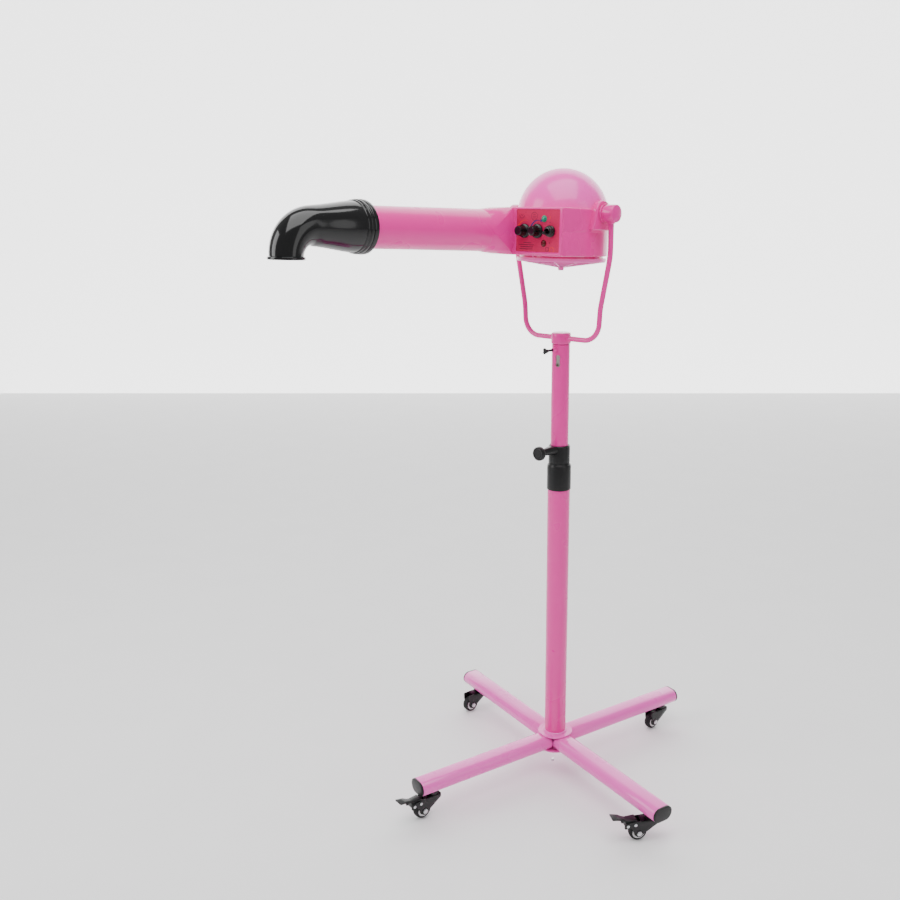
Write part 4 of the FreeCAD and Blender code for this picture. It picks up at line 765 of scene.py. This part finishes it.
def bent_rod(name, radius, corners, ends, segments=32):
    """A bar along +X bent upwards: straight runs drawn out, and each bend spun about its centre."""
    deselect()
    bpy.ops.mesh.primitive_circle_add(
        vertices=segments, radius=radius * MM, fill_type="NGON",
        location=(ends[0][0] * MM, 0, ends[0][1] * MM),
        rotation=(0, math.pi / 2, 0),
    )
    obj = fresh(name)
    settle(obj)
    edit(obj, "FACE")
    take_all()
    route = [Vector(ends[0]), *(Vector(corner[:2]) for corner in corners), Vector(ends[1])]
    at = route[0]
    for i, corner in enumerate(corners, start=1):
        before = (route[i] - route[i - 1]).normalized()
        after = (route[i + 1] - route[i]).normalized()
        turn = math.atan2(before.x * after.y - before.y * after.x, before.dot(after))
        bend_start = route[i] - before * (corner[2] * math.tan(abs(turn) / 2))
        move = bend_start - at
        bpy.ops.mesh.extrude_region_move(TRANSFORM_OT_translate={"value": (move.x * MM, 0, move.y * MM)})
        inward = Vector((-before.y, before.x)) * math.copysign(corner[2], turn)
        centre = bend_start + inward
        bpy.ops.mesh.spin(
            steps=max(4, round(abs(math.degrees(turn)) / 6)), angle=turn,
            center=(centre.x * MM, 0, centre.y * MM),
            axis=(0, 1, 0),
        )
        at = route[i] + after * (corner[2] * math.tan(abs(turn) / 2))
    move = route[-1] - at
    bpy.ops.mesh.extrude_region_move(TRANSFORM_OT_translate={"value": (move.x * MM, 0, move.y * MM)})
    take_all()
    bpy.ops.mesh.remove_doubles(threshold=1e-6)
    bpy.ops.mesh.normals_make_consistent(inside=False)
    deselect()
    return obj


WELD = [(5.3, 0), (8.2, 0.2), (8.4, 1.4), (7.6, 2.8), (6.4, 3.8), (5.3, 4.4), (5.3, 0)]
for side, hand in (("right", 1), ("left", -1)):
    rod = bent_rod("rod", ROD, ROD_CORNERS, ROD_ENDS)
    foot_weld = lay_along(turned("weld", WELD, 32), x=19.3, z=1030, axis="X")
    top_weld = turned("weld", [(r, -h) for r, h in WELD], 32)
    shift(top_weld, x=122, z=PIVOT - 15.2)
    rod = joined("yoke_bar_" + side, rod, foot_weld, top_weld)
    if hand < 0:
        rod.scale = (-1, 1, 1)
        settle(rod)
        edit(rod)
        face_out()
        deselect()
    finish(rod, "yoke", "pink_paint", pink_paint, "yoke_rod_" + side)
    cup = turned(
        "pivot_cup_" + side,
        [(6.1, 113), (16.2, 113), (17, 113.8), (17, 133), (16.4, 134.4), (15.2, 135), (0, 135), (0, 131),
         (6.1, 131),
         (6.1, 113)],
        64,
    )
    lay_along(cup, z=PIVOT, axis="X" if hand > 0 else "-X")
    finish(cup, "yoke", "pink_paint", pink_paint, "pivot_sleeve_" + side)

# ---- head casing ----------------------------------------------------------------------------
# Two moulded shells of pink gloss plastic, upper and lower, meet at a fine line at mid height. A
# square outlet on the left narrows to the round duct, and a raised arch takes each pivot bolt.

pink_plastic = coated("pink_plastic", (0.88, 0.018, 0.33), 0.05, 0.2, 0.35, 0.01)
duct_axis = Vector(joints["elbow_turn"]["axis"])
HEAD = Matrix.Translation(joints["head_tilt"]["pos_m"]) @ Matrix.Rotation(
    -math.atan2(duct_axis.z, -duct_axis.y), 4, "X"
)
CASE_TOP, CASE_FOOT, CASE_MIDDLE = 8, -83, -37.5
CASE_FRONT = 116
DUCT_X = -62.75


def solid_of(name, corners, foot, top):
    """A block with an outline in plan, standing between two heights."""
    block = plate(name, [(x, -y) for x, y in corners], top - foot)
    block.rotation_euler = (math.pi / 2, 0, 0)
    block.location = (0, 0, foot * MM)
    settle(block)
    return block


def flare(name, root, end, half_x, low, high, radius):
    """Square mouth at the casing drawn out to a round end: each corner fans to a quarter circle."""
    deselect()
    bpy.ops.mesh.primitive_circle_add(
        vertices=48, radius=radius * MM, fill_type="NGON",
        location=(DUCT_X * MM, -end * MM, CASE_MIDDLE * MM),
        rotation=(math.pi / 2, 0, 0),
    )
    obj = fresh(name)
    settle(obj)
    edit(obj, "FACE")
    take_all()
    bpy.ops.mesh.extrude_region_move(TRANSFORM_OT_translate={"value": (0, (end - root) * MM, 0)})
    bpy.ops.mesh.select_mode(type="VERT")
    for turn in range(4):
        lowest = turn * math.pi / 2 - 1e-3

        def in_quarter(spot):
            angle = math.atan2(spot.z - CASE_MIDDLE * MM, spot.x - DUCT_X * MM) % (2 * math.pi)
            return spot.y > -(root + 1) * MM and lowest <= angle < lowest + math.pi / 2

        select_where(obj, in_quarter)
        bpy.ops.mesh.merge(type="CENTER")
        corner_x = DUCT_X + (half_x if turn in (0, 3) else -half_x)
        corner_z = high if turn < 2 else low
        bpy.ops.object.mode_set(mode="OBJECT")
        spot = next(vertex for vertex in obj.data.vertices if vertex.select)
        move = Vector((corner_x * MM, -root * MM, corner_z * MM)) - spot.co
        bpy.ops.object.mode_set(mode="EDIT")
        bpy.ops.transform.translate(value=move)
    face_out()
    deselect()
    return obj


plan = bow(94, 0, 180, 0, 0, 3.75) + [(-94, -CASE_FRONT), (94, -CASE_FRONT)]
case = solid_of("case", plan, CASE_FOOT, CASE_TOP)
round_edges(case, 2.6, 4, 50)
outlet = flare("outlet", CASE_FRONT, 182, 31.1, CASE_FOOT + 0.2, CASE_TOP - 0.2, 40)
root = plate("root", [(-93.85, CASE_FOOT + 0.2), (-31.65, CASE_FOOT + 0.2), (-31.65, CASE_TOP - 0.2),
                      (-93.85, CASE_TOP - 0.2)], 12)
shift(root, y=-CASE_FRONT)
cut_out(outlet, root, "UNION")
cut_out(case, outlet, "UNION")
ARCH = bow(24.5, 0, 180, 0, 0, 9) + [(-35, CASE_MIDDLE + 5), (35, CASE_MIDDLE + 5)]
for hand in (1, -1):
    arch = plate("arch", ARCH, 14)
    round_edges(arch, 3.4, 5, 50)
    arch.rotation_euler = (0, 0, math.pi / 2)
    arch.location = (104 * MM if hand > 0 else -90 * MM, 0, 0)
    settle(arch)
    cut_out(case, arch, "UNION")
hollow = turned("hollow", [(0, -95), (84, -95), (84, 5), (78, 5), (78, 20), (0, 20)], 96)
cut_out(case, hollow)
screw_well = lay_along(turned("screw_well", [(0, 128), (3.2, 128), (3.2, 160), (0, 160)], 24), x=-40, z=-81,
                       axis="-Y")
cut_out(case, screw_well)
for part, keep_up in (("upper", True), ("lower", False)):
    pick(case)
    bpy.ops.object.duplicate()
    shell = fresh("shell_" + part)
    edit(shell)
    take_all()
    bpy.ops.mesh.bisect(
        plane_co=(0, 0, (CASE_MIDDLE + (0.01 if keep_up else -0.01)) * MM), plane_no=(0, 0, 1),
        use_fill=True,
        clear_inner=keep_up, clear_outer=not keep_up,
    )
    deselect()
    round_edges(shell, 0.5, 3, 60)
    shell.matrix_world = HEAD
    finish(shell, "head", "pink_plastic", pink_plastic, "housing_" + part)
bpy.data.objects.remove(case)
lip = turned("intake_lip", [(83.2, -80), (86.2, -80), (86.2, -87.4), (85.4, -88), (84, -88), (83.2, -87.4),
                            (83.2, -80)], 96)
lip.matrix_world = HEAD
finish(lip, "head", "pink_plastic", pink_plastic)

# ---- dome -----------------------------------------------------------------------------------
# A pressed and polished half dome over the motor, in the same pink plastic as the casing. Its colour is
# painted paler, a painted sheen standing in for the lamps' reflection on its polish. It stands on the
# casing in a shallow rim.

# Painted sheen: the same pink as the casing, lightened in the base colour for the reflection on the
# polished dome.
dome_pink = coated("dome_pink", (0.96, 0.07, 0.50), 0.04, 0.1, 0.45, 0.006)
dome = turned(
    "dome_shell",
    [(91.2, 8.1), (91.9, 8.1), (91.9, 9.4)] + [(r, z - 6) for r, z in bow(93, 9.6, 90, 0, 0, 2.2)]
    + [(r, z - 6) for r, z in bow(90.5, 90, 9.2, 0, 0, 4)] + [(91.2, 8.1)],
    120,
)
dome.matrix_world = HEAD
finish(dome, "head", "pink_plastic", dome_pink, "dome_cover")

# ---- duct -----------------------------------------------------------------------------------
# A long moulded tube, slightly tapered, fixed to the casing's round outlet. The heater's mica
# boards and coils stand inside it.

duct = turned(
    "air_duct",
    [(38, 182.2), (40, 182.2), (39.72, 205), (38.6, 300), (37.5, 390), (36.7, 474), (36.7, 500),
     (34.7, 500), (34.7, 474),
     (38, 182.2)],
    128,
)
lay_along(duct, DUCT_X, 0, CASE_MIDDLE)
duct.matrix_world = HEAD
finish(duct, "head", "pink_plastic", pink_plastic, "duct_tube")
mica = moulded("mica_board", (0.52, 0.43, 0.30), 0.5, 0.2, 300, 0.05)
recoat(mica, "heater_core")

# ---- intake grille, motor and fan -----------------------------------------------------------
# A shallow dish of painted wire and flat bars, held a little below the casing on four posts. Its
# hub ends in a small nub. Above it turns the cast fan wheel on the motor's shaft.

RIM_TOP, RIM_FOOT, DISH_FOOT = -87.5, -95.5, -108.5
bars = [
    turned("rim", [(88.2, RIM_TOP), (91.4, RIM_TOP), (92, RIM_TOP - 0.7), (92, RIM_FOOT + 3.4),
                   (91.2, RIM_FOOT + 1.4),
                   (89.4, RIM_FOOT), (88.2, RIM_FOOT + 0.6), (88.2, RIM_TOP)], 96),
    turned("nub", [(0, DISH_FOOT + 3), (6, DISH_FOOT + 3), (6, DISH_FOOT - 2), (5.4, DISH_FOOT - 4),
                   (3.8, DISH_FOOT - 5),
                   (0, DISH_FOOT - 5)], 32),
]
for share in (0.3, 0.52, 0.76):
    reach, level = share * 92, DISH_FOOT + 13 * share
    bars.append(turned("hoop", [(r + reach, z + level + 1.5) for r, z in bow(1.5, 0, 360, 0, 0, 45)], 96))
for step in range(12):
    wire = plate("spoke", [(4, DISH_FOOT + 0.2), (88.8, RIM_FOOT + 0.2), (88.8, RIM_FOOT + 2.8),
                           (4, DISH_FOOT + 2.8)], 2.6)
    shift(wire, y=-1.3)
    wire.rotation_euler = (0, 0, math.radians(30 * step))
    settle(wire)
    bars.append(wire)
for step in range(4):
    post = turned("post", [(0, RIM_TOP - 1), (1.7, RIM_TOP - 1), (1.7, CASE_FOOT), (0, CASE_FOOT)], 16)
    turn = math.radians(90 * step)
    bars.append(shift(post, x=90 * math.cos(turn), y=90 * math.sin(turn)))
grille = joined("intake_guard", *bars)
round_edges(grille, 0.5, 2, 50)
grille.matrix_world = HEAD
guard_pink = coated("guard_pink", (0.92, 0.14, 0.52), 0.06, 0.3, 0.2)
finish(grille, "head", "pink_paint", guard_pink, "inlet_grille")
cast_alloy = metal("cast_alloy", (0.42, 0.42, 0.43), 0.5, 140)
recoat(cast_alloy, "motor", "impeller")
recoat(zinc, "pivot_bolts")
spacers = []
for axis in ("X", "-X"):
    spacer = turned(
        "spacer", [(6.05, 104.1), (17.9, 104.1), (18.5, 104.7), (18.5, 107.6), (17.9, 108.3), (15.5, 108.5),
                   (15.5, 112),
                   (15, 112.6), (6.05, 112.6), (6.05, 104.1)], 64,
    )
    spacers.append(lay_along(spacer, axis=axis))
spacers = joined("pivot_spacers", *spacers)
spacers.matrix_world = HEAD
finish(spacers, "head", "pink_paint", pink_paint, "pivot_washers")

# ---- control panel --------------------------------------------------------------------------
# A moulded frame on the casing's front, with a deep pink label set into it. The label carries
# plain printed arcs and marks; knobs, lamps and the toggle stand out of it.

PANEL_LEFT, PANEL_RIGHT, PANEL_TOP, PANEL_FOOT = -31.5, 94, 7, -82
LABEL = (-21, 88, 4, -76)
THICK, RECESS = 3, 1.2


def printed(name, colour):
    """Screen-printed ink: thin, matt, very slightly uneven."""
    return moulded(name, colour, 0.5, 0, 400, 0.02, 0.01)


panel_pink = moulded("panel_pink", (0.52, 0.004, 0.075), 0.45, 0.05, 300, 0.02, 0.004)
panel = plate(
    "panel_frame", [(PANEL_LEFT, PANEL_FOOT), (PANEL_RIGHT, PANEL_FOOT), (PANEL_RIGHT, PANEL_TOP),
                    (PANEL_LEFT, PANEL_TOP)],
    THICK, 2, 4,
)
shift(panel, y=-CASE_FRONT - THICK)
well = plate("well", [(LABEL[0], LABEL[3]), (LABEL[1], LABEL[3]), (LABEL[1], LABEL[2]),
                      (LABEL[0], LABEL[2])], RECESS + 3, 1.5, 4)
shift(well, y=-CASE_FRONT - THICK - 3)
cut_out(panel, well)
LABEL_FACE = -CASE_FRONT - THICK + RECESS
for face in panel.data.polygons:
    across = LABEL[0] - 1 < face.center.x / MM < LABEL[1] + 1
    upright = LABEL[3] - 1 < face.center.z / MM < LABEL[2] + 1
    face.material_index = 1 if across and upright and abs(face.center.y / MM - LABEL_FACE) < 0.05 else 0
round_edges(panel, 0.6, 3, 50)
panel.matrix_world = HEAD
finish(panel, "head", "panel_pink", [pink_plastic, panel_pink], "control_panel")


def arc_mark(name, x, z, inner, outer, start, end, taper=0.0):
    """Flat curved stroke, its inner edge drawn in at one end where it tapers."""
    outside = bow(outer, start, end, x, z, 9)
    count = len(outside)
    inside = []
    for i, (px, pz) in enumerate(bow(inner, end, start, x, z, 9)):
        pull = taper * i / (count - 1)
        ox, oz = outside[count - 1 - i]
        inside.append((px + (ox - px) * pull, pz + (oz - pz) * pull))
    return plate(name, outside + inside, 0.12)


def strip(x0, x1, z0, z1):
    return plate("strip", [(x0, z0), (x1, z0), (x1, z1), (x0, z1)], 0.12)


HEAT_X, AIR_X, TOGGLE_X, LAMP_X, CONTROL_Z = 0.5, 33.3, 65.8, 49.3, -36.5
red_ink = printed("red_ink", (0.70, 0.010, 0.012))
blue_ink = printed("blue_ink", (0.018, 0.018, 0.14))
black_ink = printed("black_ink", (0.028, 0.018, 0.024))
marks = {
    "heat_mark": (red_ink, [arc_mark("arc", HEAT_X, CONTROL_Z, 17.2, 20.6, 72, 150, 0.9),
                            strip(62.5, 64.3, -13.5, -9), arc_mark("arc", 70, -71.5, 4.6, 5.8, 0, 354)]),
    "air_mark": (blue_ink, [arc_mark("arc", AIR_X, CONTROL_Z, 17.2, 20.8, 66, 150, 0.9),
                            plate("tip", [(38.2, -18.4), (44.4, -19.6), (41.2, -13.2)], 0.12)]),
    "dial_marks": (black_ink, [
        arc_mark("arc", -7.5, -6.5, 5.8, 6.6, 180, 355), arc_mark("arc", -7.5, -4.5, 2.6, 3.3, 200, 340),
        strip(1.5, 2.7, -2.4, -1.2), arc_mark("arc", 24.2, -9, 7.2, 7.9, 20, 375),
        strip(19.5, 29, -9.4, -8.7),
        strip(20.5, 28, -12.4, -11.8), strip(21.5, 27, -6.2, -5.6), strip(63, 64.4, -21.5, -19.6),
        strip(62.5, 65, -57.5, -56.6), strip(62.5, 65, -59.3, -58.4), strip(54.5, 62, -67.2, -66.5),
        strip(54.5, 62, -73.7, -73.0), strip(54.5, 55.2, -73, -67.2), strip(61.3, 62, -73, -67.2),
        strip(-2, 18, -59.1, -58.1), strip(-14, 25, -63.1, -62.1), strip(-10, 22, -67.1, -66.1),
        strip(-12, 21, -71.1, -70.1),
    ]),
}
for name, (ink, strokes) in marks.items():
    mark = joined(name, *strokes)
    shift(mark, y=LABEL_FACE - 0.09)
    mark.matrix_world = HEAD
    finish(mark, "head", "panel_pink", ink)


def on_panel(obj, x, z):
    """A lathe piece whose height is measured from the casing's front face."""
    lay_along(obj, x, -CASE_FRONT, z)
    obj.matrix_world = HEAD
    return obj


FACE = THICK - RECESS
knob_black = moulded("knob_black", (0.003, 0.003, 0.0035), 0.24, 0.3, 200, 0.01, 0.002)
for name, x in (("heat_knob", HEAT_X), ("airflow_knob", AIR_X)):
    dial = turned(
        "dial_" + name,
        [(0, -4), (2.95, -4), (2.95, FACE + 0.35), (13, FACE + 0.35), (13.6, FACE + 0.9),
         (13.6, FACE + 3.6),
         (12.9, FACE + 4.6), (11.6, FACE + 5), (10.4, FACE + 5.3), (9.8, FACE + 6.4), (9.3, FACE + 12),
         (9.0, FACE + 20),
         (8.6, FACE + 21.3), (7.6, FACE + 22), (6.2, FACE + 21.6), (0, FACE + 21.4)],
        72,
    )
    edit(dial, "FACE")
    select_where(
        dial,
        lambda spot: FACE + 6.5 < spot.z / MM < FACE + 19.9 and 8 * MM < math.hypot(spot.x,
                                                                                    spot.y) < 9.7 * MM
        and int(math.degrees(math.atan2(spot.y, spot.x)) // 5) % 3 == 0,
        "polygons",
    )
    bpy.ops.mesh.inset(thickness=0.18 * MM, depth=0.32 * MM)
    select_where(
        dial,
        lambda spot: FACE + 1 < spot.z / MM < FACE + 3.5 and math.hypot(spot.x, spot.y) > 13.3 * MM
        and int(math.degrees(math.atan2(spot.y, spot.x)) // 5) % 2 == 0,
        "polygons",
    )
    bpy.ops.mesh.inset(thickness=0.15 * MM, depth=-0.3 * MM)
    deselect()
    finish(on_panel(dial, x, CONTROL_Z), name, "satin_black", knob_black, name)
    pointer = plate("pointer_" + name, [(5.2, 5.2), (6.3, 4.1), (9.0, 6.8), (7.9, 7.9)], 0.16)
    shift(pointer, x=x, y=-CASE_FRONT - FACE - 4.92, z=CONTROL_Z)
    pointer.matrix_world = HEAD
    finish(pointer, name, "white_nylon", nylon)

boot = turned(
    "switch_boot",
    [(7.1, FACE + 0.05), (11, FACE + 0.05), (11, FACE + 2.6), (10.1, FACE + 3.2), (9.6, FACE + 3.9),
     (10.4, FACE + 4.6),
     (10.4, FACE + 5.8), (9.2, FACE + 6.4), (8.8, FACE + 7.2), (9.6, FACE + 7.8), (9.5, FACE + 9.2),
     (8.5, FACE + 10.1),
     (8.2, FACE + 11.4), (7.4, FACE + 11.9), (5.2, FACE + 12), (4.8, FACE + 11.6), (5.2, FACE + 11.2),
     (6.8, FACE + 10.8), (7.1, FACE + 10), (7.1, FACE + 0.05)],
    64,
)
finish(on_panel(boot, TOGGLE_X, CONTROL_Z), "head", "satin_black", knob_black, "toggle_boot")
lever = turned(
    "switch_lever",
    [(0, -3), (2.4, -3), (2.4, 8), (2.5, 14), (3.2, 20.6), (3.3, 22.6), (2.9, 24.2), (1.8, 25), (0, 25)],
    32,
)
lever.matrix_world = (
    HEAD @ Matrix.Translation((TOGGLE_X * MM, -CASE_FRONT * MM,
                               CONTROL_Z * MM)) @ Matrix.Rotation(math.pi / 2, 4, "X")
    @ Matrix.Rotation(math.radians(8), 4, "X")
)
lever_black = metal("lever_black", (0.05, 0.05, 0.055), 0.3, 90)
finish(lever, "toggle_lever", "zinc", lever_black, "toggle_lever")


def lens(name, colour, glow):
    """Tinted moulded lens over a small neon lamp, with faint ribs of light inside."""
    material, surface = shader(name, colour, 0.2, 0, 0.1)
    nodes, links = material.node_tree.nodes, material.node_tree.links
    place = nodes.new("ShaderNodeTexCoord")
    cells = add_node(nodes, "TexVoronoi", Scale=420)
    tone = nodes.new("ShaderNodeValToRGB")
    tone.color_ramp.elements[0].color = (*glow, 1)
    tone.color_ramp.elements[1].color = (*colour, 1)
    links.new(place.outputs["Object"], cells.inputs["Vector"])
    links.new(cells.outputs["Distance"], tone.inputs["Fac"])
    links.new(tone.outputs["Color"], surface.inputs["Base Color"])
    return material


for name, level, slot, tint, glow in (
    ("run_lamp", CONTROL_Z + 22.9, "green_lens", (0.004, 0.16, 0.09), (0.02, 0.36, 0.22)),
    ("heat_lamp", CONTROL_Z - 22.9, "red_lens", (0.06, 0.002, 0.004), (0.16, 0.006, 0.010)),
):
    cap = turned(
        "lens_" + name,
        [(0, 0.1), (4.4, 0.1), (4.4, FACE + 0.05), (6.5, FACE + 0.05), (6.5, FACE + 0.8), (6.1, FACE + 1.1),
         (5.2, FACE + 1.2), (4.9, FACE + 2.2), (4.0, FACE + 3.3), (2.4, FACE + 3.85), (0, FACE + 4)], 48,
    )
    finish(on_panel(cap, LAMP_X, level), "head", slot, lens(slot, tint, glow), name)

# ---- elbow nozzle ---------------------------------------------------------------------------
# A glossy black moulded elbow that turns on the duct's end. It tapers from a banded collar to a
# tight bend and ends, mouth down, in a rolled lip.

gloss_black = moulded("gloss_black", (0.002, 0.002, 0.0025), 0.12, 0.35, 26, 0.004, 0.001)
INLET, THROAT, OUTLET, WALL = 43.5, 32.8, 28.3, 2.5
BEND_START, BEND, DROP = 586.9, 50, 54.5
COLLAR_START, COLLAR_END = 476, 500
deselect()
bpy.ops.mesh.primitive_circle_add(
    vertices=96, radius=INLET * MM, location=(DUCT_X * MM, -COLLAR_START * MM, CASE_MIDDLE * MM),
    rotation=(math.pi / 2, 0, 0),
)
elbow = fresh("elbow_pipe")
settle(elbow)
edit(elbow)
take_all()
bpy.ops.mesh.extrude_edges_move(TRANSFORM_OT_translate={"value": (0, (COLLAR_START - COLLAR_END) * MM, 0)})
at, size = COLLAR_END, INLET
for share, radius in ((0.12, 42.6), (0.3, 40.6), (0.5, 38.1), (0.7, 35.7), (0.87, 33.9), (1.0, THROAT)):
    to = COLLAR_END + (BEND_START - COLLAR_END) * share
    bpy.ops.mesh.extrude_edges_move(TRANSFORM_OT_translate={"value": (0, (at - to) * MM, 0)})
    ratio = radius / size
    bpy.ops.transform.resize(
        value=(ratio, 1, ratio), center_override=(DUCT_X * MM, -to * MM, CASE_MIDDLE * MM)
    )
    at, size = to, radius
BEND_STEPS = 15
centre = Vector((DUCT_X, -BEND_START, CASE_MIDDLE - BEND)) * MM
bpy.ops.mesh.spin(steps=BEND_STEPS, angle=math.pi / 2, center=centre, axis=(-1, 0, 0))
for step in range(1, BEND_STEPS + 1):
    angle = step / BEND_STEPS * math.pi / 2
    middle = centre + Vector((0, -math.sin(angle), math.cos(angle))) * BEND * MM
    along = Vector((0, -math.cos(angle), -math.sin(angle)))
    select_where(
        elbow,
        lambda spot: abs((spot - middle).dot(along)) < 0.02 * MM
        and (spot - middle).length < (THROAT + 1) * MM
        and spot.y < (-BEND_START * MM - 1e-5),
    )
    radius = THROAT + (OUTLET - THROAT) * (step / BEND_STEPS) ** 0.7
    ratio = radius / THROAT
    bpy.ops.transform.resize(value=(ratio, ratio, ratio), center_override=middle)
bpy.ops.mesh.extrude_edges_move(TRANSFORM_OT_translate={"value": (0, 0, (BEND - DROP + 0.6) * MM)})
take_all()
bpy.ops.mesh.remove_doubles(threshold=1e-6)
bpy.ops.mesh.normals_make_consistent(inside=False)
deselect()
apply(elbow, "SOLIDIFY", thickness=WALL * MM, offset=-1)
lip = turned(
    "mouth_lip", [(25.8, 0.4), (26.4, 0), (30.4, 0), (31.1, 0.6), (31.3, 1.6), (31.2, 3.4), (30.6, 4.5),
                  (29.4, 5),
                  (28.2, 5.6), (25.8, 5.6), (25.8, 0.4)], 96,
)
shift(lip, DUCT_X, -BEND_START - BEND, CASE_MIDDLE - DROP)
elbow = joined("elbow_nozzle", elbow, lip)
elbow.matrix_world = HEAD
finish(elbow, "elbow", "gloss_black", gloss_black, "elbow")
band = turned(
    "collar_band",
    [(43.5, 476), (45.4, 476), (46.3, 476.6), (46.5, 477.6), (46.5, 484.2), (46.1, 485.2), (45.1, 485.7),
     (45.1, 487.2),
     (45.9, 487.8), (46.1, 488.8), (46.1, 491.8), (45.6, 492.8), (44.3, 493.6), (44.1, 495.2),
     (44.9, 496.2),
     (44.9, 498.6), (44.2, 499.7), (43.5, 500), (43.5, 476)],
    128,
)
lay_along(band, DUCT_X, 0, CASE_MIDDLE)
band.matrix_world = HEAD
finish(band, "elbow", "gloss_black", gloss_black, "elbow_collar")
